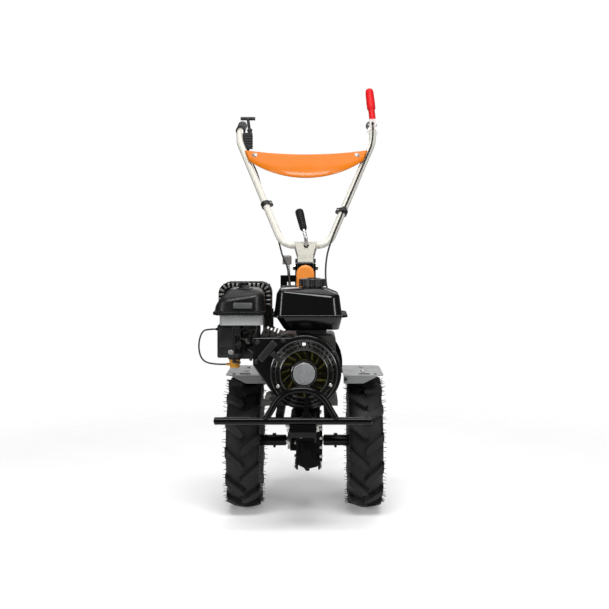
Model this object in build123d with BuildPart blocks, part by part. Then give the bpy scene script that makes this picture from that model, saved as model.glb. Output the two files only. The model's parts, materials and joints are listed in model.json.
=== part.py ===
"""Walk-behind two-wheel tractor with a front engine, a gear drive and a high handlebar.

Millimetres. +X is the driver's left, +Y points backwards, +Z is up.
The pieces are drawn with Y counted from the wheel axle and Z from the ground,
and are written with the origin on the ground under the middle of the whole machine.
"""

import os

from math import cos, radians, sin, tan

from build123d import *

os.makedirs("parts", exist_ok=True)

# Wheels
TYRE_RADIUS = 205.0
TYRE_HALF_WIDTH = 53.0
TYRE_SIDES = 52
BULGE_RADIUS = 150.0
SHOULDER_INSET = 7.0
TYRE_WALL = 24.0
LUG_HEIGHT = 16.0
CROWN_DROP = 11.0
CROWN_FLAT = 18.0
LUG_COUNT = 13
LUG_WIDTH = 23.0
LUG_TILT = 42.0
LUG_TIP_X = 5.0
LUG_BLUNT = 9.0
TRACK = 372.0
BEAD_RADIUS = 103.0
BEAD_HALF_WIDTH = 34.0
BEAD_WIDTH = 6.0
RIM_WALL = 3.0
RIM_FIT = 0.3
RIM_WELL = 17.0
FLANGE_HEIGHT = 6.0
AXLE_RADIUS = 13.0
RUNNING_FIT = 0.08
HUB_RADIUS = 17.0
HUB_FLANGE_RADIUS = 50.0
HUB_FLANGE = 8.0
HUB_INNER_X = 59.0
HUB_PIN_X = 96.0
HUB_NOSE = 16.0

AXLE_Z = TYRE_RADIUS
WHEEL_X = TRACK / 2

# Gear case, final drive and clutch bell
CASE_HALF_WIDTH = 60.0
CASE_LENGTH = 210.0
CASE_HEIGHT = 220.0
CASE_ABOVE_AXLE = 135.0
BELL_LENGTH = 105.0
BELL_RADIUS = 116.0
BELL_BACK_RADIUS = 96.0
BELL_FLANGE = 14.0
CASE_FRONT_Y = 40.0
DRIVE_LEFT_X = 42.0
DRIVE_RIGHT_X = -22.0
DRIVE_DEPTH = 81.0
DRIVE_FRONT_Y = -88.0
DRIVE_BACK_Y = 104.0
DRIVE_KEEL_X = 8.0
AXLE_BOSS_RADIUS = 33.0
AXLE_BOSS_X = 46.0
SEAL_RADIUS = 28.0
SEAL_WIDTH = 8.0
CLUTCH_SHAFT_X = 52.0
CLUTCH_ARM_X = 92.0
CLUTCH_ARM_RISE = 123.0

CASE_BACK_Y = CASE_FRONT_Y + CASE_LENGTH
CASE_BOTTOM_Z = AXLE_Z + CASE_ABOVE_AXLE
CASE_TOP_Z = CASE_BOTTOM_Z + CASE_HEIGHT
BELL_FRONT_Y = CASE_FRONT_Y - BELL_LENGTH
DRIVE_BOTTOM_Z = AXLE_Z - DRIVE_DEPTH

# Engine
CRANK_ABOVE_CASE_BOTTOM = 117.0
CRANK_ABOVE_FOOT = 106.0
BLOCK_LENGTH = 170.0
BLOCK_LEFT_X = 92.0
BLOCK_RIGHT_X = -88.0
BLOCK_TOP = 99.0
FOOT_LEFT_X = 98.0
FOOT_RIGHT_X = -118.0
FOOT_HEIGHT = 15.0
CYLINDER_X = -72.0
CYLINDER_RISE = 43.0
CYLINDER_LENGTH = 150.0
CYLINDER_HEIGHT = 104.0
CYLINDER_LEAN = 25.0
FIN_PITCH = 11.0
FIN_GAP = 5.0
FIN_DEPTH = 14.0
FIN_COUNT = 4
SHROUD_DEPTH = 65.0
SHROUD_RADIUS = 107.0
SHROUD_TOP = 100.0
SHROUD_RIGHT_X = -147.0
SHROUD_WALL = 3.0
INTAKE_RADIUS = 88.0
RECOIL_DEPTH = 30.0
RECOIL_RADIUS = 98.0
RECOIL_LIP = 4.0
RECOIL_FACE_RADIUS = 70.0
RECOIL_SLOPE = 13.0
RECOIL_WALL = 3.0
WINDOW_INNER_RADIUS = 40.0
WINDOW_OUTER_RADIUS = 66.0
WINDOW_COUNT = 9
SLOT_COUNT = 36
BADGE_RADIUS = 31.5
BADGE_THICKNESS = 2.5
FAN_RADIUS = 84.0
FAN_HUB_RADIUS = 38.0
FAN_DISC = 38.0
FAN_BLADE = 26.0
FAN_BLADES = 16
PULL_X = -104.0
PULL_RISE = 63.0
PULL_LENGTH = 68.0
PULL_WIDTH = 22.0
PULL_LEAN = 50.0
TANK_ABOVE_CRANK = 119.0
TANK_BELLY = 38.0
TANK_FLANGE = 5.0
TANK_TOP_HEIGHT = 75.0
TANK_WIDTH = 196.0
TANK_LENGTH = 190.0
TANK_RIM = 20.0
TANK_X = 16.0
TANK_TOP_LEAN = 4.0
TANK_NECK = 5.0
TANK_SEAT_X = 20.0
TANK_SEAT_WIDTH = 90.0
TANK_SEAT_LENGTH = 125.0
CAP_RADIUS = 37.0
CAP_HEIGHT = 22.0
CLEANER_X = -185.0
CLEANER_LEAN = 8.0
CLEANER_WIDTH = 154.0
CLEANER_LENGTH = 142.0
CLEANER_LIP = 8.0
CLEANER_HEIGHT = 70.0
BAND_WIDTH = 124.0
BAND_LENGTH = 116.0
BAND_HEIGHT = 30.0
CLEANER_ABOVE_TANK = 46.0
CARB_X = -217.0
CARB_WIDTH = 66.0
TAP_X = -202.0
CARB_DEPTH = 70.0
CARB_HEIGHT = 95.0
CUP_RADIUS = 17.0
CUP_HEIGHT = 31.0
NIPPLE_RADIUS = 4.0
HOSE_RADIUS = 2.4
HOSE_REACH_X = -306.0
MUFFLER_X = -178.0
MUFFLER_Z_ABOVE_CRANK = 195.0
MUFFLER_WIDTH = 140.0
MUFFLER_HEIGHT = 96.0
MUFFLER_LENGTH = 68.0
GUARD_GAP = 6.0
GUARD_WALL = 3.0
PIPE_X = -110.0
PIPE_RADIUS = 16.0

CRANK_Z = CASE_BOTTOM_Z + CRANK_ABOVE_CASE_BOTTOM
ENGINE_FOOT_Z = CRANK_Z - CRANK_ABOVE_FOOT
BLOCK_TOP_Z = CRANK_Z + BLOCK_TOP
SHROUD_BACK_Y = BELL_FRONT_Y - BLOCK_LENGTH
SHROUD_FRONT_Y = SHROUD_BACK_Y - SHROUD_DEPTH
RECOIL_FRONT_Y = SHROUD_FRONT_Y - RECOIL_DEPTH
TANK_BOTTOM_Z = CRANK_Z + TANK_ABOVE_CRANK
TANK_SEAM_Z = TANK_BOTTOM_Z + TANK_BELLY
TANK_TOP_Z = TANK_SEAM_Z + TANK_FLANGE + TANK_TOP_HEIGHT
TANK_Y = BELL_FRONT_Y - 128
CLEANER_Y = SHROUD_BACK_Y - 10
CLEANER_SEAM_Z = TANK_BOTTOM_Z + CLEANER_ABOVE_TANK
CARB_TOP_Z = CLEANER_SEAM_Z - BAND_HEIGHT
CARB_BOTTOM_Z = CARB_TOP_Z - CARB_HEIGHT
CARB_BACK_Y = CLEANER_Y + 30
CARB_FRONT_Y = CARB_BACK_Y - CARB_DEPTH
HOSE_Y = CLEANER_Y - 10
HOSE_TOP_Z = CARB_TOP_Z - 15
HOSE_LOW_Z = CARB_BOTTOM_Z - 22
MUFFLER_Z = CRANK_Z + MUFFLER_Z_ABOVE_CRANK
MUFFLER_BACK_Y = BELL_FRONT_Y - 27

# Bumper
BAR_AHEAD = 60.0
BAR_RADIUS = 10.5
BAR_WALL = 2.5
BAR_BELOW_FOOT = 17.0
BAR_LEFT_X = 187.0
BAR_RIGHT_X = -248.0
BAR_HOLE_INSET = 12.0
BAR_HOLE_RADIUS = 4.5
ARCH_X = -8.0
ARCH_HALF_SPAN = 100.0
ARCH_TOP_HALF_WIDTH = 50.0
ARCH_HEIGHT = 86.0
ARCH_RADIUS = 9.5
ARCH_BEND = 78.0
STRUT_SHEET = 6.0
RAIL_X = 68.0
RAIL_WIDTH = 22.0
RAIL_HEIGHT = 20.0
RAIL_OVERLAP = 20.0
MOUNT_X = -3.0
MOUNT_HALF_WIDTH = 38.0
MOUNT_WALL = 6.0
MOUNT_NOSE = 20.0
MOUNT_DEPTH = 56.0
MOUNT_ROUNDING = 14.0

BAR_Y = RECOIL_FRONT_Y - BAR_AHEAD
BAR_Z = ENGINE_FOOT_Z - BAR_BELOW_FOOT

# Fenders
FENDER_ABOVE_TYRE = 15.0
FENDER_SHEET = 2.5
FENDER_LENGTH = 250.0
FENDER_OUTER_X = 240.0
FENDER_INNER_X = 118.0
FENDER_FLANGE = 22.0
FENDER_SLANT = 62.0
FENDER_CORNER = 18.0
FENDER_TAB = 60.0

FENDER_Z = 2 * TYRE_RADIUS + FENDER_ABOVE_TYRE

# Handlebar base and tilt pivot
PIVOT_ABOVE_CASE = 185.0
PIVOT_BEFORE_BACK = 15.0
PIVOT_RADIUS = 8.0
BOSS_RADIUS = 30.0
BOSS_HALF_WIDTH = 26.0
CHEEK = 8.0
CHEEK_GAP = 0.5
CHEEK_RADIUS = 26.0
BASE_LENGTH = 70.0
BASE_HEIGHT = 140.0
COVER_HALF_WIDTH = 30.0
COVER_DEPTH = 40.0
COVER_SHOULDER = 162.0
COVER_TOP = 191.0
GATE_SHEET = 5.0
GATE_RIGHT_X = -82.0
GATE_LEG = 22.0
GATE_HEIGHT = 158.0
KNOB_WIDTH = 30.0
RANGE_RADIUS = 5.0

PIVOT_Y = CASE_BACK_Y - PIVOT_BEFORE_BACK
PIVOT_Z = CASE_TOP_Z + PIVOT_ABOVE_CASE
BASE_BACK_Y = CASE_BACK_Y
BASE_FRONT_Y = CASE_BACK_Y - BASE_LENGTH

# Handlebar, from the pivot up to the grips
BAR_TUBE_RADIUS = 12.5
CROSS_BACK = 50.0
CROSS_UP = 70.0
CROSS_HALF_WIDTH = 78.0
ARM_SPREAD = 166.0
ARM_BACK = 280.0
ARM_UP = 375.0
NECK_SPREAD = 3.0
NECK_BACK = 20.0
NECK_UP = 38.0
TUBE_BENDS = [50, 90, 60, 60, 90, 50]
WELD_GAP = 0.2
COLUMN_DEPTH = 40.0
COLUMN_TOP_DEPTH = 44.0
COLUMN_TOP_WIDTH = 76.0
GRIP_RADIUS = 18.0
GRIP_LENGTH = 130.0
GRIP_RISE = 15.0
GRIP_GAP = 50.0
PANEL_HALF_WIDTH = 226.0
PANEL_BOW = 30.0
PANEL_CROWN = 8.0
PANEL_SHEET = 4.0
PANEL_DROP = 26.0
PANEL_SAG = 20.0
PANEL_HEIGHT = 87.0
PANEL_SLANT = 18.0
PANEL_END_HEIGHT = 40.0
LEVER_RADIUS = 6.0
LEVER_LENGTH = 142.0
SLEEVE_RADIUS = 14.0
SLEEVE_NECK = 26.0
SLEEVE_NECK_RADIUS = 10.0
SLEEVE_NECK_LENGTH = 34.0
CABLE_RADIUS = 3.0
CABLE_ROOM = 1.0
CABLE_GAP = 0.5
CLIP_LENGTH = 17.0
CLIP_WALL = 4.5

CROSS_Y = PIVOT_Y + CROSS_BACK
CROSS_Z = PIVOT_Z + CROSS_UP
ARM_TOP_X = CROSS_HALF_WIDTH + ARM_SPREAD
ARM_TOP_Y = CROSS_Y + ARM_BACK
ARM_TOP_Z = CROSS_Z + ARM_UP
HAND_X = ARM_TOP_X + NECK_SPREAD
HAND_Y = ARM_TOP_Y + NECK_BACK
HAND_Z = ARM_TOP_Z + NECK_UP

# Hitch and depth stake
HITCH_LENGTH = 150.0
HITCH_WIDTH = 80.0
HITCH_PLATE = 10.0
HITCH_MOUTH = 52.0
HITCH_ABOVE_CASE_BOTTOM = 32.0
HITCH_PIN_RADIUS = 8.5
HITCH_PIN_REACH = 80.0
STAKE_REACH = 270.0
STAKE_WIDTH = 14.0
STAKE_DEPTH = 40.0
STAKE_LENGTH = 470.0
STAKE_PIN_RADIUS = 5.0
STAKE_FIT = 0.5
PIN_FIT = 0.05
HOLDER_WIDTH = 40.0
HOLDER_WALL = 13.0
HOLDER_HEIGHT = 44.0
STAKE_STEP = 36.0

HITCH_BACK_Y = CASE_BACK_Y + HITCH_LENGTH
HITCH_MID_Z = CASE_BOTTOM_Z + HITCH_ABOVE_CASE_BOTTOM
HITCH_PIN_Y = CASE_BACK_Y + HITCH_PIN_REACH
STAKE_Y = CASE_BACK_Y + STAKE_REACH

# The row's origin lies midway between the bar's front and the grips' ends
GRIP_DIRECTION = Vector(0, cos(radians(GRIP_RISE)), sin(radians(GRIP_RISE)))
HAND = Vector(HAND_X, HAND_Y, HAND_Z)
GRIP_END = HAND + GRIP_DIRECTION * (GRIP_GAP + GRIP_LENGTH)
FRONT_Y = BAR_Y - BAR_RADIUS
BACK_Y = GRIP_END.Y + GRIP_RADIUS * sin(radians(GRIP_RISE))
ORIGIN_Y = (FRONT_Y + BACK_Y) / 2


def front(y):
    """The plane seen from the front at depth y: its x is X, its y is Z, and it is extruded forwards."""
    return Plane.XZ.offset(-y)


def side(x):
    """The plane seen from the side at x: its x is Y, its y is Z, and it is extruded towards +X."""
    return Plane.YZ.offset(x)


def level(z):
    """The plane seen from above at height z."""
    return Plane.XY.offset(z)


def keep(piece, name):
    """Labels a finished piece, puts it in the row's frame and writes it."""
    placed = piece.part.moved(Location((0, -ORIGIN_Y, 0)))
    placed.label = name
    export_step(placed, f"parts/{name}.step")


def bent_tube(points, bends, radius, bore=0.0):
    """A round tube along straight runs joined by arcs."""
    with BuildPart() as tube:
        with BuildLine() as path:
            FilletPolyline(*points, radius=bends)
        start = Plane(origin=path.line @ 0, z_dir=path.line % 0)
        with BuildSketch(start):
            Circle(radius)
            if bore:
                Circle(bore, mode=Mode.SUBTRACT)
        sweep()
    return tube


def rod(start, end, radius):
    """A straight round rod between two points."""
    axis = Vector(end) - Vector(start)
    with BuildPart() as bar:
        with BuildSketch(Plane(origin=start, z_dir=axis)):
            Circle(radius)
        extrude(amount=axis.length)
    return bar


def spin_plane(x):
    """The plane of a wheel's profile: its x is measured from the wheel's middle and its y from the axle."""
    return Plane(origin=(x, 0, AXLE_Z), x_dir=(1, 0, 0), z_dir=(0, -1, 0))


AXLE = Axis((0, 0, AXLE_Z), (1, 0, 0))
CRANK = Axis((0, 0, CRANK_Z), (0, 1, 0))


# Wheels: tyre, rim, hub and half shaft on each side
def lug_outline(flank):
    """A lug seen from outside: its blunt tip lies near the tyre's middle and its foot on the shoulder."""
    slope = tan(radians(LUG_TILT))
    middle = (LUG_TIP_X + TYRE_HALF_WIDTH) / 2
    blunt_x = LUG_TIP_X + LUG_BLUNT
    half = LUG_WIDTH / 2 / cos(radians(LUG_TILT))
    tip_rise = slope * (LUG_TIP_X - middle)
    blunt_rise = slope * (blunt_x - middle)
    foot_rise = slope * (TYRE_HALF_WIDTH - middle)
    return [
        (flank * LUG_TIP_X, tip_rise - 0.4 * half),
        (flank * LUG_TIP_X, tip_rise + 0.4 * half),
        (flank * blunt_x, blunt_rise + half),
        (flank * TYRE_HALF_WIDTH, foot_rise + half),
        (flank * TYRE_HALF_WIDTH, foot_rise - half),
        (flank * blunt_x, blunt_rise - half),
    ]


def make_tyre(name, sign):
    middle_x = sign * WHEEL_X
    carcass = TYRE_RADIUS - LUG_HEIGHT
    shoulder_x = TYRE_HALF_WIDTH - SHOULDER_INSET
    outside = [
        (-TYRE_HALF_WIDTH, BULGE_RADIUS),
        (-shoulder_x, carcass - CROWN_DROP),
        (-CROWN_FLAT, carcass),
        (CROWN_FLAT, carcass),
        (shoulder_x, carcass - CROWN_DROP),
        (TYRE_HALF_WIDTH, BULGE_RADIUS),
    ]
    inside = [
        (-TYRE_HALF_WIDTH, BULGE_RADIUS),
        (-BEAD_HALF_WIDTH, BEAD_RADIUS),
        (BEAD_HALF_WIDTH, BEAD_RADIUS),
        (TYRE_HALF_WIDTH, BULGE_RADIUS),
    ]
    crowned = [
        (-TYRE_HALF_WIDTH, TYRE_RADIUS - CROWN_DROP),
        (-CROWN_FLAT, TYRE_RADIUS),
        (CROWN_FLAT, TYRE_RADIUS),
        (TYRE_HALF_WIDTH, TYRE_RADIUS - CROWN_DROP),
    ]
    with BuildPart() as lugs:
        for flank, turn in ((1, 0), (-1, 0.5)):
            for step in range(LUG_COUNT):
                angle = radians(360 / LUG_COUNT * (step + turn))
                out = Vector(0, sin(angle), cos(angle))
                root = Vector(middle_x, 0, AXLE_Z) + out * (carcass - TYRE_WALL)
                with BuildSketch(Plane(origin=root, x_dir=(1, 0, 0), z_dir=out)):
                    with BuildLine():
                        Polyline(*lug_outline(flank), close=True)
                    make_face()
                extrude(amount=LUG_HEIGHT + TYRE_WALL)
        for x, radius in crowned:
            with BuildSketch(side(middle_x + x)):
                with Locations((0, AXLE_Z)):
                    RegularPolygon(radius, TYRE_SIDES)
        loft(ruled=True, mode=Mode.INTERSECT)
    with BuildPart() as tyre:
        for x, radius in outside:
            with BuildSketch(side(middle_x + x)):
                with Locations((0, AXLE_Z)):
                    RegularPolygon(radius, TYRE_SIDES)
        loft(ruled=True)
        add(lugs.part)
        for x, radius in inside:
            with BuildSketch(side(middle_x + x)):
                with Locations((0, AXLE_Z)):
                    RegularPolygon(radius, TYRE_SIDES, major_radius=False)
        loft(ruled=True, mode=Mode.SUBTRACT)
        with BuildSketch(side(middle_x - BEAD_HALF_WIDTH + BEAD_WIDTH)):
            with Locations((0, AXLE_Z)):
                RegularPolygon(carcass - TYRE_WALL, TYRE_SIDES)
        extrude(amount=2 * (BEAD_HALF_WIDTH - BEAD_WIDTH), mode=Mode.SUBTRACT)
    keep(tyre, f"tyre_{name}")


def make_rim(name, sign):
    seat = BEAD_RADIUS - RIM_FIT
    lip = BEAD_HALF_WIDTH + RIM_WALL
    well = seat - RIM_WELL
    slope = 0.75 * RIM_WALL
    top_x = BEAD_HALF_WIDTH - 2 * BEAD_WIDTH
    well_x = top_x - BEAD_WIDTH
    outer = [
        (lip + RIM_WALL, seat + FLANGE_HEIGHT),
        (lip, seat + FLANGE_HEIGHT),
        (lip, seat),
        (top_x, seat),
        (well_x, well),
    ]
    inner = [
        (well_x + slope, well - RIM_WALL),
        (top_x + slope, seat - RIM_WALL),
        (lip + RIM_WALL, seat - RIM_WALL),
    ]
    mirrored_outer = [(-x, r) for x, r in reversed(outer)]
    mirrored_inner = [(-x, r) for x, r in reversed(inner)]
    with BuildPart() as rim:
        with BuildSketch(spin_plane(sign * WHEEL_X)):
            with BuildLine():
                Polyline(*outer, *mirrored_outer, *mirrored_inner, *inner, close=True)
            make_face()
        revolve(axis=AXLE)
        with BuildSketch(side(sign * WHEEL_X - RIM_WALL / 2)):
            with Locations((0, AXLE_Z)):
                Circle(well - RIM_WALL / 2)
                Circle(HUB_RADIUS + 2, mode=Mode.SUBTRACT)
                with PolarLocations((HUB_FLANGE_RADIUS + well - RIM_WALL) / 2, 6):
                    Circle(9, mode=Mode.SUBTRACT)
        extrude(amount=RIM_WALL)
    keep(rim, f"rim_{name}")


def make_hub(name, sign):
    face = WHEEL_X - RIM_WALL / 2
    nose = WHEEL_X + HUB_NOSE
    with BuildPart() as hub:
        with BuildSketch(side(sign * HUB_INNER_X)):
            with Locations((0, AXLE_Z)):
                Circle(HUB_RADIUS)
        extrude(amount=sign * (nose - HUB_INNER_X))
        with BuildSketch(side(sign * face)):
            with Locations((0, AXLE_Z)):
                Circle(HUB_FLANGE_RADIUS)
        extrude(amount=-sign * HUB_FLANGE)
        with BuildSketch(side(sign * face)):
            with Locations((0, AXLE_Z)):
                with PolarLocations(HUB_FLANGE_RADIUS - 11, 4, start_angle=45):
                    RegularPolygon(8, 6)
        extrude(amount=-sign * (HUB_FLANGE + 7))
        with BuildSketch(side(sign * nose)):
            with Locations((0, AXLE_Z)):
                Circle(AXLE_RADIUS + RUNNING_FIT)
        extrude(amount=-sign * (nose - HUB_INNER_X), mode=Mode.SUBTRACT)
        with BuildSketch(level(AXLE_Z - HUB_RADIUS - 6)):
            with Locations((sign * HUB_PIN_X, 0)):
                Circle(4)
        extrude(amount=7)
        with BuildSketch(level(AXLE_Z + HUB_RADIUS - 1)):
            with Locations((sign * HUB_PIN_X, 0)):
                Circle(6)
        extrude(amount=5.5)
    keep(hub, f"hub_{name}")


def make_half_shaft(name, sign):
    inner_x = RUNNING_FIT * 100
    with BuildPart() as shaft:
        with BuildSketch(side(sign * inner_x)):
            with Locations((0, AXLE_Z)):
                Circle(AXLE_RADIUS)
        extrude(amount=sign * (WHEEL_X + HUB_NOSE + 4 - inner_x))
        chamfer(shaft.edges().sort_by(Axis.X)[-1 if sign > 0 else 0], 1.5)
    keep(shaft, f"half_shaft_{name}")


for wheel_name, wheel_sign in (("left", 1), ("right", -1)):
    make_tyre(wheel_name, wheel_sign)
    make_rim(wheel_name, wheel_sign)
    make_hub(wheel_name, wheel_sign)
    make_half_shaft(wheel_name, wheel_sign)

# Final drive case round the axle, with a keel below
drive_width = DRIVE_LEFT_X - DRIVE_RIGHT_X
with BuildPart() as final_drive:
    with BuildSketch(side(DRIVE_RIGHT_X)):
        with BuildLine():
            Polyline(
                (DRIVE_FRONT_Y, CASE_BOTTOM_Z),
                (DRIVE_FRONT_Y, AXLE_Z - 22),
                (DRIVE_FRONT_Y + 36, DRIVE_BOTTOM_Z),
                (DRIVE_BACK_Y - 48, DRIVE_BOTTOM_Z),
                (DRIVE_BACK_Y - 8, AXLE_Z - 22),
                (DRIVE_BACK_Y, AXLE_Z + 40),
                (DRIVE_BACK_Y, CASE_BOTTOM_Z),
                close=True,
            )
        make_face()
    extrude(amount=drive_width)
    fillet(final_drive.edges().filter_by(Axis.X).group_by(Axis.Z)[0], 20)
    with BuildSketch(front(DRIVE_BACK_Y + 1)):
        with BuildLine():
            Polyline(
                (DRIVE_RIGHT_X, CASE_BOTTOM_Z),
                (DRIVE_RIGHT_X, DRIVE_BOTTOM_Z + 16),
                (DRIVE_KEEL_X, DRIVE_BOTTOM_Z),
                (DRIVE_LEFT_X - 4, DRIVE_BOTTOM_Z + 9),
                (DRIVE_LEFT_X, DRIVE_BOTTOM_Z + 16),
                (DRIVE_LEFT_X, CASE_BOTTOM_Z),
                close=True,
            )
        make_face()
    extrude(amount=DRIVE_BACK_Y - DRIVE_FRONT_Y + 2, mode=Mode.INTERSECT)
    with BuildSketch(side(-AXLE_BOSS_X)):
        with Locations((0, AXLE_Z)):
            Circle(AXLE_BOSS_RADIUS)
    extrude(amount=2 * AXLE_BOSS_X)
    with BuildSketch(side(-AXLE_BOSS_X)):
        with Locations((0, AXLE_Z)):
            Circle(AXLE_RADIUS + RUNNING_FIT)
    extrude(amount=2 * AXLE_BOSS_X, mode=Mode.SUBTRACT)
keep(final_drive, "final_drive")

# Bright bearing retainers on both ends of the axle housing
with BuildPart() as retainers:
    for sign in (1, -1):
        with BuildSketch(side(sign * AXLE_BOSS_X)):
            with Locations((0, AXLE_Z)):
                Circle(SEAL_RADIUS)
                Circle(AXLE_RADIUS + 1, mode=Mode.SUBTRACT)
        extrude(amount=sign * SEAL_WIDTH)
keep(retainers, "bearing_retainers")

# Clutch bell between engine and gear case
CLUTCH_ARM_Z = CRANK_Z + CLUTCH_ARM_RISE
with BuildPart() as bell:
    with BuildSketch(front(CASE_FRONT_Y)):
        with Locations((0, CRANK_Z)):
            Circle(BELL_BACK_RADIUS)
    with BuildSketch(front(BELL_FRONT_Y + BELL_FLANGE)):
        with Locations((0, CRANK_Z)):
            Circle(BELL_RADIUS - 8)
    loft()
    with BuildSketch(front(BELL_FRONT_Y + BELL_FLANGE)):
        with Locations((0, CRANK_Z)):
            Circle(BELL_RADIUS)
    extrude(amount=BELL_FLANGE)
    with BuildSketch(level(CRANK_Z)):
        with Locations((CLUTCH_SHAFT_X, 0)):
            Circle(13)
    extrude(amount=CLUTCH_ARM_RISE)
keep(bell, "clutch_bell")

# Clutch arm on top of the bell, pulled by the cable
with BuildPart() as clutch_arm:
    with BuildSketch(level(CLUTCH_ARM_Z)):
        with Locations(((CLUTCH_SHAFT_X + CLUTCH_ARM_X) / 2, 0)):
            SlotCenterToCenter(CLUTCH_ARM_X - CLUTCH_SHAFT_X, 22)
    extrude(amount=6)
    with BuildSketch(level(CLUTCH_ARM_Z)):
        with Locations((CLUTCH_ARM_X, 0)):
            Circle(5)
    extrude(amount=22)
keep(clutch_arm, "clutch_arm")

# Main gear case
with BuildPart() as gear_case:
    with BuildSketch(front(CASE_BACK_Y)):
        with Locations((0, CASE_BOTTOM_Z + CASE_HEIGHT / 2)):
            RectangleRounded(2 * CASE_HALF_WIDTH, CASE_HEIGHT, 14)
    extrude(amount=CASE_LENGTH)
    with BuildSketch(front(CASE_BACK_Y)):
        with Locations((0, CRANK_Z)):
            Circle(44)
    extrude(amount=-14)
keep(gear_case, "gear_case")

# Hitch: two plates with a pin hole, and the arm with the depth stake
hitch_low = HITCH_MID_Z - HITCH_MOUTH / 2
hitch_high = HITCH_MID_Z + HITCH_MOUTH / 2
with BuildPart() as hitch:
    for z in (hitch_low - HITCH_PLATE, hitch_high):
        with BuildSketch(level(z)):
            with Locations((0, CASE_BACK_Y + HITCH_LENGTH / 2)):
                Rectangle(HITCH_WIDTH, HITCH_LENGTH)
            with Locations((0, HITCH_PIN_Y)):
                Circle(HITCH_PIN_RADIUS, mode=Mode.SUBTRACT)
        extrude(amount=HITCH_PLATE)
    with BuildSketch(front(HITCH_BACK_Y)):
        with Locations((0, HITCH_MID_Z)):
            Rectangle(HITCH_WIDTH, HITCH_MOUTH)
    extrude(amount=HITCH_PLATE + 2)
keep(hitch, "hitch")

with BuildPart() as stake_holder:
    with BuildSketch(level(HITCH_MID_Z - HOLDER_HEIGHT / 2)):
        with Locations((0, STAKE_Y)):
            Rectangle(HOLDER_WIDTH, STAKE_DEPTH + 2 * HOLDER_WALL)
            Rectangle(STAKE_WIDTH + 2 * STAKE_FIT, STAKE_DEPTH + 2 * STAKE_FIT, mode=Mode.SUBTRACT)
        arm_end = STAKE_Y - STAKE_DEPTH / 2 - HOLDER_WALL
        with Locations((0, (HITCH_BACK_Y + arm_end) / 2)):
            Rectangle(HOLDER_WIDTH - 10, arm_end - HITCH_BACK_Y)
    extrude(amount=HOLDER_HEIGHT)
    with BuildSketch(side(-HOLDER_WIDTH / 2)):
        with Locations((STAKE_Y, HITCH_MID_Z)):
            Circle(STAKE_PIN_RADIUS + PIN_FIT)
    extrude(amount=HOLDER_WIDTH, mode=Mode.SUBTRACT)
keep(stake_holder, "stake_holder")

stake_front = STAKE_Y - STAKE_DEPTH / 2
stake_back = STAKE_Y + STAKE_DEPTH / 2
with BuildPart() as stake:
    with BuildSketch(side(-STAKE_WIDTH / 2)):
        with BuildLine():
            Polyline(
                (stake_front, STAKE_LENGTH),
                (stake_front, 60),
                (stake_front + 8, 0),
                (stake_front + 20, 0),
                (stake_back, 70),
                (stake_back, STAKE_LENGTH),
                close=True,
            )
        make_face()
        with Locations([(STAKE_Y, HITCH_MID_Z + step * STAKE_STEP) for step in (-2, -1, 0, 1, 2)]):
            Circle(STAKE_PIN_RADIUS + PIN_FIT, mode=Mode.SUBTRACT)
    extrude(amount=STAKE_WIDTH)
keep(stake, "depth_stake")

with BuildPart() as stake_pin:
    with BuildSketch(side(-HOLDER_WIDTH / 2 - 10)):
        with Locations((STAKE_Y, HITCH_MID_Z)):
            Circle(STAKE_PIN_RADIUS)
    extrude(amount=HOLDER_WIDTH + 20)
    with BuildSketch(side(HOLDER_WIDTH / 2)):
        with Locations((STAKE_Y, HITCH_MID_Z)):
            Circle(STAKE_PIN_RADIUS + 4)
    extrude(amount=6)
keep(stake_pin, "stake_pin")

# Front bumper: bar, arch with its strut, rails and the mount on the final drive
with BuildPart() as bar:
    with BuildSketch(side(BAR_RIGHT_X)):
        with Locations((BAR_Y, BAR_Z)):
            Circle(BAR_RADIUS)
            Circle(BAR_RADIUS - BAR_WALL, mode=Mode.SUBTRACT)
    extrude(amount=BAR_LEFT_X - BAR_RIGHT_X)
    with BuildSketch(level(BAR_Z - BAR_RADIUS - 1)):
        with Locations((BAR_LEFT_X - BAR_HOLE_INSET, BAR_Y), (BAR_RIGHT_X + BAR_HOLE_INSET, BAR_Y)):
            Circle(BAR_HOLE_RADIUS)
    extrude(amount=2 * BAR_RADIUS + 2, mode=Mode.SUBTRACT)
keep(bar, "bumper_bar")

arch_top_z = BAR_Z + ARCH_HEIGHT
arch_points = [
    (ARCH_X - ARCH_HALF_SPAN, BAR_Y, BAR_Z),
    (ARCH_X - ARCH_TOP_HALF_WIDTH, BAR_Y, arch_top_z),
    (ARCH_X + ARCH_TOP_HALF_WIDTH, BAR_Y, arch_top_z),
    (ARCH_X + ARCH_HALF_SPAN, BAR_Y, BAR_Z),
]
arch = bent_tube(arch_points, ARCH_BEND, ARCH_RADIUS)
with BuildPart() as bumper_arch:
    add(arch.part)
    with BuildSketch(front(BAR_Y + STRUT_SHEET / 2)):
        with BuildLine():
            Polyline(
                (-12, BAR_Z),
                (29, BAR_Z),
                (14, BAR_Z + 26),
                (11, arch_top_z),
                (5, arch_top_z),
                (0, BAR_Z + 26),
                close=True,
            )
        make_face()
    extrude(amount=STRUT_SHEET)
    with BuildSketch(side(BAR_RIGHT_X)):
        with Locations((BAR_Y, BAR_Z)):
            Circle(BAR_RADIUS)
    extrude(amount=BAR_LEFT_X - BAR_RIGHT_X, mode=Mode.SUBTRACT)
    with BuildSketch(front(BAR_Y + 2 * ARCH_RADIUS)):
        with Locations((ARCH_X, BAR_Z - 50)):
            Rectangle(3 * ARCH_HALF_SPAN, 100)
    extrude(amount=4 * ARCH_RADIUS, mode=Mode.SUBTRACT)
keep(bumper_arch, "bumper_arch")

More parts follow.
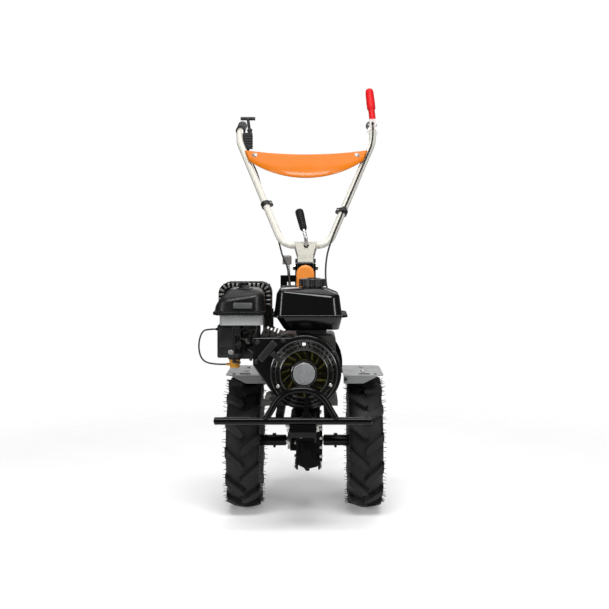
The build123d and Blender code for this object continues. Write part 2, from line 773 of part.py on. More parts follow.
rail_front_y = BAR_Y + BAR_RADIUS
rail_back_y = BELL_FRONT_Y + RAIL_OVERLAP
with BuildPart() as rails:
    for sign in (1, -1):
        with BuildSketch(front(rail_back_y)):
            with Locations((sign * RAIL_X, ENGINE_FOOT_Z - RAIL_HEIGHT / 2)):
                Rectangle(RAIL_WIDTH, RAIL_HEIGHT)
        extrude(amount=rail_back_y - rail_front_y)
keep(rails, "engine_rails")

mount_top_z = BAR_Z - BAR_RADIUS
mount_front_y = BAR_Y - BAR_RADIUS + 2
with BuildPart() as mount:
    with BuildSketch(side(MOUNT_X - MOUNT_HALF_WIDTH)):
        with BuildLine():
            Polyline(
                (mount_front_y, mount_top_z),
                (mount_front_y, mount_top_z - MOUNT_NOSE),
                (mount_front_y + 38, mount_top_z - MOUNT_DEPTH),
                (DRIVE_FRONT_Y, mount_top_z - MOUNT_DEPTH),
                (DRIVE_FRONT_Y, mount_top_z),
                close=True,
            )
        make_face()
    extrude(amount=2 * MOUNT_HALF_WIDTH)
    fillet(mount.edges().filter_by(Axis.Y).group_by(Axis.Z)[-1], MOUNT_ROUNDING)
    with BuildSketch(front(DRIVE_FRONT_Y)):
        with Locations((MOUNT_X, mount_top_z - MOUNT_DEPTH)):
            Rectangle(2 * (MOUNT_HALF_WIDTH - MOUNT_WALL), 2 * (MOUNT_DEPTH - MOUNT_ROUNDING))
    extrude(amount=DRIVE_FRONT_Y - mount_front_y - MOUNT_NOSE, mode=Mode.SUBTRACT)
keep(mount, "bumper_mount")


# Fenders over both wheels
def make_fender(name, sign):
    half = FENDER_LENGTH / 2
    flange_z = FENDER_Z - FENDER_SHEET
    tab_front = CASE_FRONT_Y + 20
    with BuildPart() as fender:
        with BuildSketch(level(flange_z)):
            with BuildLine():
                Polyline(
                    (sign * FENDER_INNER_X, -half),
                    (sign * (FENDER_OUTER_X - FENDER_CORNER), -half),
                    (sign * FENDER_OUTER_X, FENDER_CORNER - half),
                    (sign * FENDER_OUTER_X, half - FENDER_CORNER),
                    (sign * (FENDER_OUTER_X - FENDER_CORNER), half),
                    (sign * FENDER_INNER_X, half),
                    (sign * FENDER_INNER_X, tab_front + FENDER_TAB),
                    (sign * CASE_HALF_WIDTH, tab_front + FENDER_TAB),
                    (sign * CASE_HALF_WIDTH, tab_front),
                    (sign * FENDER_INNER_X, tab_front),
                    close=True,
                )
            make_face()
        extrude(amount=FENDER_SHEET)
        for y, backwards in ((-half, -1), (half, 1)):
            with BuildSketch(front(y)):
                with BuildLine():
                    Polyline(
                        (sign * FENDER_INNER_X, flange_z),
                        (sign * (FENDER_OUTER_X - FENDER_CORNER), flange_z),
                        (sign * (FENDER_OUTER_X - FENDER_SLANT), flange_z - FENDER_FLANGE),
                        (sign * FENDER_INNER_X, flange_z - FENDER_FLANGE),
                        close=True,
                    )
                make_face()
            extrude(amount=backwards * FENDER_SHEET)
    keep(fender, f"fender_{name}")


make_fender("left", 1)
make_fender("right", -1)

# Engine block with its foot, the finned cylinder leaning to the right and the tank's seat
with BuildPart() as block:
    with BuildSketch(front(BELL_FRONT_Y)):
        with Locations(((BLOCK_LEFT_X + BLOCK_RIGHT_X) / 2, (ENGINE_FOOT_Z + BLOCK_TOP_Z) / 2)):
            RectangleRounded(BLOCK_LEFT_X - BLOCK_RIGHT_X, BLOCK_TOP_Z - ENGINE_FOOT_Z, 12)
        with Locations(((FOOT_LEFT_X + FOOT_RIGHT_X) / 2, ENGINE_FOOT_Z + FOOT_HEIGHT / 2)):
            Rectangle(FOOT_LEFT_X - FOOT_RIGHT_X, FOOT_HEIGHT)
        with Locations(Location((CYLINDER_X, CRANK_Z + CYLINDER_RISE), -CYLINDER_LEAN)):
            Rectangle(CYLINDER_LENGTH, CYLINDER_HEIGHT)
            with Locations((-0.32 * CYLINDER_LENGTH, 0)):
                with GridLocations(FIN_PITCH, CYLINDER_HEIGHT, FIN_COUNT, 2):
                    Rectangle(FIN_GAP, 2 * FIN_DEPTH, mode=Mode.SUBTRACT)
    extrude(amount=BLOCK_LENGTH)
    with BuildSketch(front(BELL_FRONT_Y)):
        with Locations((TANK_SEAT_X, (CRANK_Z + TANK_BOTTOM_Z) / 2)):
            Rectangle(TANK_SEAT_WIDTH, TANK_BOTTOM_Z - CRANK_Z)
    extrude(amount=TANK_SEAT_LENGTH)
keep(block, "engine_block")

# Blower housing, open at the back and round the air intake
with BuildPart() as shroud:
    with BuildSketch(front(SHROUD_BACK_Y)) as shroud_outline:
        with Locations((0, CRANK_Z)):
            Circle(SHROUD_RADIUS)
        with BuildLine():
            Polyline(
                (SHROUD_RIGHT_X, CRANK_Z + SHROUD_TOP),
                (30, CRANK_Z + SHROUD_TOP),
                (30, CRANK_Z - 80),
                (-74, CRANK_Z - 84),
                (SHROUD_RIGHT_X, CRANK_Z + 20),
                close=True,
            )
        make_face()
    extrude(amount=SHROUD_DEPTH)
    fillet(shroud.faces().sort_by(Axis.Y)[0].edges(), 5)
    with BuildSketch(front(SHROUD_BACK_Y)):
        add(shroud_outline.sketch)
        offset(amount=-SHROUD_WALL, mode=Mode.REPLACE)
    extrude(amount=SHROUD_DEPTH - 2 * SHROUD_WALL, mode=Mode.SUBTRACT)
    with BuildSketch(front(SHROUD_BACK_Y)):
        with Locations((0, CRANK_Z)):
            Circle(INTAKE_RADIUS)
    extrude(amount=SHROUD_DEPTH, mode=Mode.SUBTRACT)
keep(shroud, "blower_housing")

# Recoil starter cover: a dish with a ring of windows and a ring of slanted slots
recoil_profile = Plane(origin=(0, 0, CRANK_Z), x_dir=(1, 0, 0), z_dir=(0, 0, 1))
recoil_wall_radius = RECOIL_RADIUS - RECOIL_LIP
slot_ring = (RECOIL_FACE_RADIUS + recoil_wall_radius) / 2 - 0.5
with BuildPart() as recoil:
    with BuildSketch(recoil_profile):
        with BuildLine():
            Polyline(
                (0, RECOIL_FRONT_Y),
                (RECOIL_FACE_RADIUS, RECOIL_FRONT_Y),
                (recoil_wall_radius, RECOIL_FRONT_Y + RECOIL_SLOPE),
                (recoil_wall_radius, SHROUD_FRONT_Y - RECOIL_WALL),
                (RECOIL_RADIUS, SHROUD_FRONT_Y - RECOIL_WALL),
                (RECOIL_RADIUS, SHROUD_FRONT_Y),
                (recoil_wall_radius - RECOIL_WALL, SHROUD_FRONT_Y),
                (recoil_wall_radius - RECOIL_WALL, RECOIL_FRONT_Y + RECOIL_SLOPE + RECOIL_WALL),
                (RECOIL_FACE_RADIUS - 1, RECOIL_FRONT_Y + RECOIL_WALL),
                (0, RECOIL_FRONT_Y + RECOIL_WALL),
                close=True,
            )
        make_face()
    revolve(axis=CRANK)
    with BuildSketch(front(RECOIL_FRONT_Y + RECOIL_WALL + 1)):
        with Locations((0, CRANK_Z)):
            Circle(WINDOW_OUTER_RADIUS)
            Circle(WINDOW_INNER_RADIUS, mode=Mode.SUBTRACT)
            with PolarLocations((WINDOW_INNER_RADIUS + WINDOW_OUTER_RADIUS) / 2, WINDOW_COUNT):
                Rectangle(50, 6, rotation=28, mode=Mode.SUBTRACT)
    extrude(amount=RECOIL_WALL + 2, mode=Mode.SUBTRACT)
    with BuildSketch(front(RECOIL_FRONT_Y + RECOIL_SLOPE + 2 * RECOIL_WALL)):
        with Locations((0, CRANK_Z)):
            with PolarLocations(slot_ring, SLOT_COUNT):
                Rectangle(recoil_wall_radius - RECOIL_FACE_RADIUS - 8, 5, rotation=30)
    extrude(amount=RECOIL_SLOPE + 3 * RECOIL_WALL, mode=Mode.SUBTRACT)
keep(recoil, "recoil_cover")

with BuildPart() as badge:
    with BuildSketch(front(RECOIL_FRONT_Y)):
        with Locations((0, CRANK_Z)):
            Circle(BADGE_RADIUS)
    extrude(amount=BADGE_THICKNESS)
    fillet(badge.faces().sort_by(Axis.Y)[0].edges(), 1)
keep(badge, "recoil_badge")

# Flywheel fan behind the recoil cover
with BuildPart() as fan:
    with BuildSketch(front(SHROUD_BACK_Y)):
        with Locations((0, CRANK_Z)):
            Circle(FAN_RADIUS)
    extrude(amount=FAN_DISC)
    with BuildSketch(front(SHROUD_BACK_Y - FAN_DISC)):
        with Locations((0, CRANK_Z)):
            Circle(FAN_HUB_RADIUS)
            with PolarLocations((FAN_RADIUS + FAN_HUB_RADIUS) / 2, FAN_BLADES):
                Rectangle(FAN_RADIUS - FAN_HUB_RADIUS - 4, 5, rotation=20)
    extrude(amount=FAN_BLADE)
keep(fan, "flywheel_fan")

# Pull handle parked on the shroud, on the boss of its rope
with BuildPart() as pull_handle:
    with BuildSketch(front(SHROUD_FRONT_Y - 4)):
        with Locations(Location((PULL_X, CRANK_Z + PULL_RISE), PULL_LEAN)):
            RectangleRounded(PULL_LENGTH, PULL_WIDTH, 5)
    extrude(amount=PULL_WIDTH)
    fillet(pull_handle.faces().sort_by(Axis.Y)[0].edges(), 4)
    with BuildSketch(front(SHROUD_FRONT_Y)):
        with Locations(Location((PULL_X + 8, CRANK_Z + PULL_RISE - 6), PULL_LEAN - 90)):
            RectangleRounded(18, 16, 4)
    extrude(amount=14)
keep(pull_handle, "pull_handle")

# Fuel tank with its seam flange, a top that leans to the left and a neck under the cap
CAP_X = TANK_X + 8
lean = radians(TANK_TOP_LEAN)
tank_top = Plane(
    origin=(TANK_X - 5, TANK_Y, TANK_TOP_Z), x_dir=(cos(lean), 0, -sin(lean)), z_dir=(sin(lean), 0, cos(lean))
)
with BuildPart() as tank:
    with BuildSketch(level(TANK_BOTTOM_Z)):
        with Locations((TANK_X + 6, TANK_Y)):
            RectangleRounded(TANK_WIDTH - 40, TANK_LENGTH - 34, 24)
    with BuildSketch(level(TANK_SEAM_Z)):
        with Locations((TANK_X - 2, TANK_Y)):
            RectangleRounded(TANK_WIDTH - 4, TANK_LENGTH - 2, 26)
    loft()
    with BuildSketch(level(TANK_SEAM_Z)):
        with Locations((TANK_X, TANK_Y)):
            RectangleRounded(TANK_WIDTH + TANK_RIM, TANK_LENGTH + 16, 28)
    extrude(amount=TANK_FLANGE)
    with BuildSketch(level(TANK_SEAM_Z + TANK_FLANGE)):
        with Locations((TANK_X - 5, TANK_Y)):
            RectangleRounded(TANK_WIDTH, TANK_LENGTH, 30)
    with BuildSketch(tank_top):
        RectangleRounded(TANK_WIDTH - 22, TANK_LENGTH - 34, 34)
    loft()
    fillet(tank.faces().sort_by(Axis.Z)[-1].edges(), 14)
    with BuildSketch(level(TANK_TOP_Z - TANK_NECK)):
        with Locations((CAP_X, TANK_Y)):
            Circle(CAP_RADIUS - 8)
    extrude(amount=2 * TANK_NECK)
keep(tank, "fuel_tank")

with BuildPart() as cap:
    with BuildSketch(level(TANK_TOP_Z + TANK_NECK)):
        with Locations((CAP_X, TANK_Y)):
            Circle(CAP_RADIUS - 3)
            with PolarLocations(CAP_RADIUS - 4, 8):
                Circle(7)
    extrude(amount=CAP_HEIGHT)
    fillet(cap.faces().sort_by(Axis.Z)[-1].edges(), 2)
keep(cap, "fuel_cap")

# Air cleaner: a cover that slopes more on its outer side, on a light band
with BuildPart() as cleaner_cover:
    with BuildSketch(level(CLEANER_SEAM_Z)):
        with Locations((CLEANER_X, CLEANER_Y)):
            RectangleRounded(CLEANER_WIDTH, CLEANER_LENGTH, 22)
    extrude(amount=CLEANER_LIP)
    with BuildSketch(level(CLEANER_SEAM_Z + CLEANER_LIP)):
        with Locations((CLEANER_X, CLEANER_Y)):
            RectangleRounded(CLEANER_WIDTH - 6, CLEANER_LENGTH - 6, 22)
    with BuildSketch(level(CLEANER_SEAM_Z + CLEANER_LIP + 0.6 * CLEANER_HEIGHT)):
        with Locations((CLEANER_X + 0.8 * CLEANER_LEAN, CLEANER_Y)):
            RectangleRounded(CLEANER_WIDTH - 16, CLEANER_LENGTH - 18, 26)
    with BuildSketch(level(CLEANER_SEAM_Z + CLEANER_LIP + CLEANER_HEIGHT)):
        with Locations((CLEANER_X + CLEANER_LEAN, CLEANER_Y)):
            RectangleRounded(CLEANER_WIDTH - 46, CLEANER_LENGTH - 42, 24)
    loft(ruled=True)
    fillet(cleaner_cover.faces().sort_by(Axis.Z)[-1].edges(), 10)
keep(cleaner_cover, "air_cleaner_cover")

with BuildPart() as cleaner_base:
    with BuildSketch(level(CARB_TOP_Z)):
        with Locations((CLEANER_X + 4, CLEANER_Y)):
            RectangleRounded(BAND_WIDTH, BAND_LENGTH, 14)
    extrude(amount=BAND_HEIGHT)
keep(cleaner_base, "air_cleaner_base")

# Carburettor cover with a recess for the choke, and the carburettor behind it
carb_left_x = CARB_X + CARB_WIDTH / 2
carb_right_x = CARB_X - CARB_WIDTH / 2
with BuildPart() as carburettor_cover:
    with BuildSketch(front(CARB_BACK_Y)):
        with Locations((CARB_X, (CARB_TOP_Z + CARB_BOTTOM_Z) / 2)):
            RectangleRounded(CARB_WIDTH, CARB_HEIGHT, 5)
    extrude(amount=CARB_DEPTH)
    with BuildSketch(front(CARB_FRONT_Y)):
        with Locations((carb_left_x - 8, CARB_BOTTOM_Z + 36)):
            Rectangle(16, 56)
    extrude(amount=-26, mode=Mode.SUBTRACT)
    with BuildSketch(side(carb_right_x + 6)):
        with Locations((HOSE_Y, HOSE_TOP_Z)):
            Circle(NIPPLE_RADIUS)
    extrude(amount=-13)
keep(carburettor_cover, "carburettor_cover")

with BuildPart() as carburettor:
    with BuildSketch(front(CARB_BACK_Y)):
        with Locations((TAP_X, CARB_BOTTOM_Z + 35)):
            RectangleRounded(50, 62, 8)
    extrude(amount=-52)
    with BuildSketch(side(TAP_X)):
        with Locations((CARB_BACK_Y + 26, CARB_BOTTOM_Z + 35)):
            Circle(19)
    extrude(amount=90)
    add(block.part, mode=Mode.SUBTRACT)
keep(carburettor, "carburettor")

with BuildPart() as fuel_tap:
    with BuildSketch(level(CARB_BOTTOM_Z - CUP_HEIGHT)):
        with Locations((TAP_X, HOSE_Y)):
            Circle(CUP_RADIUS - 3)
    with BuildSketch(level(CARB_BOTTOM_Z)):
        with Locations((TAP_X, HOSE_Y)):
            Circle(CUP_RADIUS)
    loft()
    with BuildSketch(side(TAP_X - 4)):
        with Locations((HOSE_Y, HOSE_LOW_Z)):
            Circle(NIPPLE_RADIUS)
    extrude(amount=-20)
keep(fuel_tap, "fuel_tap")

# Vent hose in a free loop beside the carburettor
hose_points = [
    (carb_right_x - 7.6, HOSE_Y, HOSE_TOP_Z),
    (HOSE_REACH_X + 14, HOSE_Y, HOSE_TOP_Z - 4),
    (HOSE_REACH_X, HOSE_Y, (HOSE_TOP_Z + HOSE_LOW_Z) / 2),
    (HOSE_REACH_X + 18, HOSE_Y, HOSE_LOW_Z + 8),
    (TAP_X - 24.8, HOSE_Y, HOSE_LOW_Z),
]
hose = bent_tube(hose_points, 18, HOSE_RADIUS)
keep(hose, "vent_hose")

# Muffler with its pipe from the cylinder, inside a slotted guard
muffler_mid_y = MUFFLER_BACK_Y - MUFFLER_LENGTH / 2
with BuildPart() as muffler:
    with BuildSketch(front(MUFFLER_BACK_Y)):
        with Locations((MUFFLER_X, MUFFLER_Z)):
            RectangleRounded(MUFFLER_WIDTH, MUFFLER_HEIGHT, 26)
    extrude(amount=MUFFLER_LENGTH)
    with BuildSketch(level(BLOCK_TOP_Z)):
        with Locations((PIPE_X, muffler_mid_y)):
            Circle(PIPE_RADIUS)
    extrude(amount=MUFFLER_Z - MUFFLER_HEIGHT / 4 - BLOCK_TOP_Z)
    with BuildSketch(front(BELL_FRONT_Y)):
        with Locations(Location((CYLINDER_X, CRANK_Z + CYLINDER_RISE), -CYLINDER_LEAN)):
            Rectangle(CYLINDER_LENGTH, CYLINDER_HEIGHT)
    extrude(amount=BLOCK_LENGTH, mode=Mode.SUBTRACT)
keep(muffler, "muffler")

guard_width = MUFFLER_WIDTH + 2 * (GUARD_GAP + GUARD_WALL)
guard_height = MUFFLER_HEIGHT + 2 * (GUARD_GAP + GUARD_WALL)
guard_back_y = MUFFLER_BACK_Y + GUARD_GAP + GUARD_WALL
guard_length = MUFFLER_LENGTH + 2 * (GUARD_GAP + GUARD_WALL)
spacer_x = (MUFFLER_WIDTH + GUARD_GAP) / 2
with BuildPart() as guard:
    with BuildSketch(front(guard_back_y)):
        with Locations((MUFFLER_X, MUFFLER_Z)):
            RectangleRounded(guard_width, guard_height, 34)
    extrude(amount=guard_length)
    with BuildSketch(front(guard_back_y - GUARD_WALL)):
        with Locations((MUFFLER_X, MUFFLER_Z)):
            RectangleRounded(guard_width - 2 * GUARD_WALL, guard_height - 2 * GUARD_WALL, 31)
            with Locations((-spacer_x, 0), (spacer_x, 0)):
                Rectangle(GUARD_GAP, 20, mode=Mode.SUBTRACT)
    extrude(amount=guard_length - 2 * GUARD_WALL, mode=Mode.SUBTRACT)
    with BuildSketch(front(guard_back_y)):
        with Locations((MUFFLER_X, MUFFLER_Z)):
            with GridLocations(15, 50, 8, 2):
                SlotOverall(40, 8, rotation=90)
    extrude(amount=guard_length, mode=Mode.SUBTRACT)
    with BuildSketch(level(MUFFLER_Z + MUFFLER_HEIGHT / 2)):
        with Locations((MUFFLER_X, muffler_mid_y)):
            with GridLocations(15, 1, 7, 1):
                SlotOverall(guard_length - 26, 8, rotation=90)
    extrude(amount=guard_height, mode=Mode.SUBTRACT)
    with BuildSketch(side(MUFFLER_X - guard_width)):
        with Locations((muffler_mid_y, MUFFLER_Z)):
            with Locations((0, 20), (0, 34), (0, -20), (0, -34)):
                SlotOverall(guard_length - 26, 8)
    extrude(amount=2 * guard_width, mode=Mode.SUBTRACT)
    with BuildSketch(level(BLOCK_TOP_Z)):
        with Locations((PIPE_X, muffler_mid_y)):
            Circle(PIPE_RADIUS + 3)
    extrude(amount=MUFFLER_Z - 20 - BLOCK_TOP_Z, mode=Mode.SUBTRACT)
keep(guard, "muffler_guard")

# Handlebar base on the gear case, with two cheeks round the tilt pivot
cheek_inner = BOSS_HALF_WIDTH + CHEEK_GAP
cheek_outer = cheek_inner + CHEEK
with BuildPart() as base:
    with BuildSketch(level(CASE_TOP_Z)):
        with Locations((0, (BASE_FRONT_Y + BASE_BACK_Y) / 2)):
            Rectangle(2 * cheek_outer, BASE_LENGTH)
    extrude(amount=BASE_HEIGHT)
    for sign in (1, -1):
        with BuildSketch(side(sign * cheek_inner)):
            with Locations((PIVOT_Y, PIVOT_Z)):
                Circle(CHEEK_RADIUS)
            with Locations((PIVOT_Y - 4, (CASE_TOP_Z + BASE_HEIGHT - 10 + PIVOT_Z) / 2)):
                Rectangle(44, PIVOT_Z - CASE_TOP_Z - BASE_HEIGHT + 10)
            with Locations((PIVOT_Y, PIVOT_Z)):
                Circle(PIVOT_RADIUS + RUNNING_FIT, mode=Mode.SUBTRACT)
        extrude(amount=sign * CHEEK)
keep(base, "handlebar_base")

with BuildPart() as pivot:
    with BuildSketch(side(-cheek_outer - 8)):
        with Locations((PIVOT_Y, PIVOT_Z)):
            Circle(PIVOT_RADIUS)
    extrude(amount=2 * cheek_outer + 16)
    for sign in (1, -1):
        with BuildSketch(side(sign * cheek_outer)):
            with Locations((PIVOT_Y, PIVOT_Z)):
                RegularPolygon(14, 6)
        extrude(amount=sign * 8)
keep(pivot, "pivot_bolt")

# Orange cover in front of the base
with BuildPart() as base_cover:
    with BuildSketch(front(BASE_FRONT_Y)):
        with BuildLine():
            Polyline(
                (-COVER_HALF_WIDTH, CASE_TOP_Z + COVER_SHOULDER),
                (-COVER_HALF_WIDTH, CASE_TOP_Z),
                (COVER_HALF_WIDTH, CASE_TOP_Z),
                (COVER_HALF_WIDTH, CASE_TOP_Z + COVER_SHOULDER),
            )
            ThreePointArc(
                (COVER_HALF_WIDTH, CASE_TOP_Z + COVER_SHOULDER),
                (0, CASE_TOP_Z + COVER_TOP),
                (-COVER_HALF_WIDTH, CASE_TOP_Z + COVER_SHOULDER),
            )
        make_face()
    extrude(amount=COVER_DEPTH)
    fillet(base_cover.faces().sort_by(Axis.Y)[0].edges().filter_by(Axis.X, reverse=True), 8)
keep(base_cover, "base_cover")

gate_front_y = BASE_FRONT_Y - COVER_DEPTH / 2
with BuildPart() as gate:
    with BuildSketch(front(gate_front_y)):
        with BuildLine():
            Polyline(
                (GATE_RIGHT_X, CASE_TOP_Z + GATE_HEIGHT),
                (-COVER_HALF_WIDTH, CASE_TOP_Z + GATE_HEIGHT),
                (-COVER_HALF_WIDTH, CASE_TOP_Z + GATE_HEIGHT - GATE_LEG),
                (GATE_RIGHT_X + GATE_LEG, CASE_TOP_Z + GATE_HEIGHT - GATE_LEG),
                (GATE_RIGHT_X + GATE_LEG, CASE_TOP_Z),
                (GATE_RIGHT_X, CASE_TOP_Z),
                close=True,
            )
        make_face()
    extrude(amount=GATE_SHEET)
    with BuildSketch(level(CASE_TOP_Z)):
        with Locations(((GATE_RIGHT_X - COVER_HALF_WIDTH) / 2, gate_front_y + 8)):
            Rectangle(-COVER_HALF_WIDTH - GATE_RIGHT_X, 20)
    extrude(amount=GATE_SHEET)
keep(gate, "shift_gate")

# Range lever beside the base, with its knob
range_foot = (-46, BASE_FRONT_Y + 16, CASE_TOP_Z)
range_top = (-59, PIVOT_Y - 6, PIVOT_Z + 23)
range_bare = rod(range_foot, range_top, RANGE_RADIUS)
with BuildPart() as range_lever:
    add(range_bare.part)
    with BuildSketch(level(CASE_TOP_Z)):
        with Locations((range_foot[0], range_foot[1])):
            Rectangle(6 * RANGE_RADIUS, 6 * RANGE_RADIUS)
    extrude(amount=-20, mode=Mode.SUBTRACT)
    with BuildSketch(level(CASE_TOP_Z)):
        with Locations((range_foot[0], range_foot[1])):
            Rectangle(20, 20)
    extrude(amount=6)
keep(range_lever, "range_lever")

with BuildPart() as range_knob:
    with BuildSketch(level(PIVOT_Z + 7)):
        with Locations((range_top[0] - 3, range_top[1] - 1)):
            RectangleRounded(KNOB_WIDTH, KNOB_WIDTH - 2, 8)
    extrude(amount=KNOB_WIDTH)
    fillet(range_knob.faces().sort_by(Axis.Z)[-1].edges(), 6)
    add(rod(range_foot, range_top, RANGE_RADIUS + WELD_GAP).part, mode=Mode.SUBTRACT)
keep(range_knob, "range_knob")


# Handlebar tube and grips
def arm_points(sign):
    """The tube's corners on one side, from the grip's end down to the cross piece."""
    return [
        (sign * GRIP_END.X, GRIP_END.Y, GRIP_END.Z),
        (sign * HAND_X, HAND_Y, HAND_Z),
        (sign * ARM_TOP_X, ARM_TOP_Y, ARM_TOP_Z),
        (sign * CROSS_HALF_WIDTH, CROSS_Y, CROSS_Z),
    ]


tube_points = arm_points(-1) + arm_points(1)[::-1]
handlebar = bent_tube(tube_points, TUBE_BENDS, BAR_TUBE_RADIUS)
tube_room = bent_tube(tube_points, TUBE_BENDS, BAR_TUBE_RADIUS + WELD_GAP)
keep(handlebar, "handlebar_tube")

with BuildPart() as grips:
    for sign in (1, -1):
        start = Vector(sign * HAND_X, HAND_Y, HAND_Z) + GRIP_DIRECTION * GRIP_GAP
        with BuildSketch(Plane(origin=start, z_dir=GRIP_DIRECTION)):
            Circle(GRIP_RADIUS)
            Circle(BAR_TUBE_RADIUS + WELD_GAP, mode=Mode.SUBTRACT)
        extrude(amount=GRIP_LENGTH)
keep(grips, "grips")

# Column that carries the tube and turns on the pivot
pivot_point = Vector(0, PIVOT_Y, PIVOT_Z)
column_axis = Vector(0, CROSS_BACK, CROSS_UP)
column_direction = column_axis.normalized()
flare = pivot_point + column_direction * (BOSS_RADIUS + 4)
with BuildPart() as column:
    with BuildSketch(Plane(origin=pivot_point, x_dir=(1, 0, 0), z_dir=column_axis)):
        Rectangle(2 * BOSS_HALF_WIDTH, COLUMN_DEPTH)
    extrude(amount=BOSS_RADIUS + 4)
    with BuildSketch(Plane(origin=flare, x_dir=(1, 0, 0), z_dir=column_axis)):
        Rectangle(2 * BOSS_HALF_WIDTH, COLUMN_DEPTH)
    with BuildSketch(Plane(origin=pivot_point + column_axis, x_dir=(1, 0, 0), z_dir=column_axis)):
        Rectangle(COLUMN_TOP_WIDTH, COLUMN_TOP_DEPTH)
    loft()
    with BuildSketch(side(-BOSS_HALF_WIDTH)):
        with Locations((PIVOT_Y, PIVOT_Z)):
            Circle(BOSS_RADIUS)
    extrude(amount=2 * BOSS_HALF_WIDTH)
    with BuildSketch(side(-BOSS_HALF_WIDTH)):
        with Locations((PIVOT_Y, PIVOT_Z)):
            Circle(PIVOT_RADIUS + RUNNING_FIT)
    extrude(amount=2 * BOSS_HALF_WIDTH, mode=Mode.SUBTRACT)
    with BuildSketch(side(-COLUMN_TOP_WIDTH)):
        with Locations((CROSS_Y, CROSS_Z)):
            Circle(BAR_TUBE_RADIUS + WELD_GAP)
    extrude(amount=2 * COLUMN_TOP_WIDTH, mode=Mode.SUBTRACT)
keep(column, "column")


# Control cables along both arms
def beside_arm(sign, share, ahead, inward):
    """A point beside the straight arm, a share of its length from the bottom, offset to its front and inside."""
    low = Vector(sign * CROSS_HALF_WIDTH, CROSS_Y, CROSS_Z)
    high = Vector(sign * ARM_TOP_X, ARM_TOP_Y, ARM_TOP_Z)
    along = (high - low).normalized()
    forwards = Vector(0, -1, 0)
    inwards = Vector(-sign, 0, 0)
    to_front = (forwards - along * along.dot(forwards)).normalized()
    to_inside = (inwards - along * along.dot(inwards)).normalized()
    return low + (high - low) * share + to_front * ahead + to_inside * inward


cable_distance = BAR_TUBE_RADIUS + CABLE_RADIUS + CABLE_GAP
clutch_cable_points = [
    (HAND_X, HAND_Y + 13.6, HAND_Z + 39),
    (HAND_X, HAND_Y - 23, HAND_Z + 29),
    tuple(beside_arm(1, 0.97, cable_distance + 3, 0)),
    tuple(beside_arm(1, 0.86, cable_distance, 0)),
    tuple(beside_arm(1, 0.25, cable_distance, 0)),
    (84, CROSS_Y - 18, CROSS_Z + 10),
    (68, PIVOT_Y - 21, PIVOT_Z + 20),
    (66, CASE_FRONT_Y + 90, CASE_TOP_Z + 134),
    (84, CASE_FRONT_Y + 6, CASE_TOP_Z + 65),
    (CLUTCH_ARM_X, 8.8, CLUTCH_ARM_Z + 15),
]
CLUTCH_CABLE_BENDS = [16, 60, 90, 60, 60, 60, 60, 40]
clutch_cable = bent_tube(clutch_cable_points, CLUTCH_CABLE_BENDS, CABLE_RADIUS)
keep(clutch_cable, "clutch_cable")

throttle_cable_points = [
    (-HAND_X + 32, HAND_Y - 6, HAND_Z - 60),
    (-HAND_X + 34, HAND_Y - 21, HAND_Z - 93),
    tuple(beside_arm(-1, 0.78, -0.6 * cable_distance, cable_distance)),
    tuple(beside_arm(-1, 0.64, -0.85 * cable_distance, 0.85 * cable_distance)),
    tuple(beside_arm(-1, 0.48, -1.1 * cable_distance, 0)),
    tuple(beside_arm(-1, 0.20, -1.1 * cable_distance, 0)),
    (-84, CROSS_Y + 11, CROSS_Z - 19),
    (-76, PIVOT_Y - 39, PIVOT_Z + 34),
    (-54, CASE_FRONT_Y + 110, CASE_TOP_Z + 178),
    (-44, CASE_FRONT_Y - 20, CASE_TOP_Z + 60),
    (-44, BELL_FRONT_Y - 65, BLOCK_TOP_Z + 10),
]
THROTTLE_CABLE_BENDS = [16, 40, 90, 90, 60, 40, 40, 60, 90]
throttle_cable = bent_tube(throttle_cable_points, THROTTLE_CABLE_BENDS, CABLE_RADIUS)
keep(throttle_cable, "throttle_cable")

clutch_cable_room = bent_tube(clutch_cable_points, CLUTCH_CABLE_BENDS, CABLE_RADIUS + CABLE_ROOM)

# Clips that hold the cables to the arms, each with an ear on its inner side
with BuildPart() as clips:
    for sign, share, ahead in ((1, 0.29, cable_distance), (-1, 0.36, -1.1 * cable_distance)):
        foot = beside_arm(sign, share, 0, 0)
        along = (beside_arm(sign, share + 0.1, 0, 0) - foot).normalized()
        cable_side = beside_arm(sign, share, ahead, 0) - foot
        clip_plane = Plane(origin=foot, x_dir=cable_side, z_dir=along)
        ear = clip_plane.to_local_coords(beside_arm(sign, share, 0, BAR_TUBE_RADIUS + CLIP_WALL))
        with BuildSketch(clip_plane):
            Circle(BAR_TUBE_RADIUS + CLIP_WALL)
            with Locations((cable_side.length, 0)):
                RectangleRounded(16, 16, 3)
            with Locations((ear.X, ear.Y)):
                Circle(8)
            Circle(BAR_TUBE_RADIUS + WELD_GAP, mode=Mode.SUBTRACT)
            with Locations((cable_side.length, 0)):
                Circle(CABLE_RADIUS + CABLE_ROOM, mode=Mode.SUBTRACT)
        extrude(amount=CLIP_LENGTH)
keep(clips, "cable_clips")

# Crescent dash panel bolted on the front of both arms, leaning with them, bowed and crowned
arm_lean = Vector(0, ARM_BACK, ARM_UP).normalized()
panel_out = Vector(0, -arm_lean.Z, arm_lean.Y)
panel_end_z = ARM_TOP_Z - PANEL_DROP
panel_share = (panel_end_z - CROSS_Z) / ARM_UP
panel_origin = Vector(0, CROSS_Y + ARM_BACK * panel_share, panel_end_z)
panel_low_z = panel_end_z - PANEL_SAG - PANEL_HEIGHT
panel_seat = BAR_TUBE_RADIUS + 0.7 * PANEL_CROWN
panel_front = panel_seat + PANEL_BOW + PANEL_SHEET
bow_radius = (PANEL_HALF_WIDTH**2 + PANEL_BOW**2) / (2 * PANEL_BOW)
bow_axis = Axis(panel_origin + panel_out * (panel_front - bow_radius), arm_lean)
inner_x = PANEL_HALF_WIDTH - PANEL_SLANT
inner_z = panel_end_z - PANEL_END_HEIGHT
shell_low = (panel_low_z - panel_end_z - panel_front) / arm_lean.Z
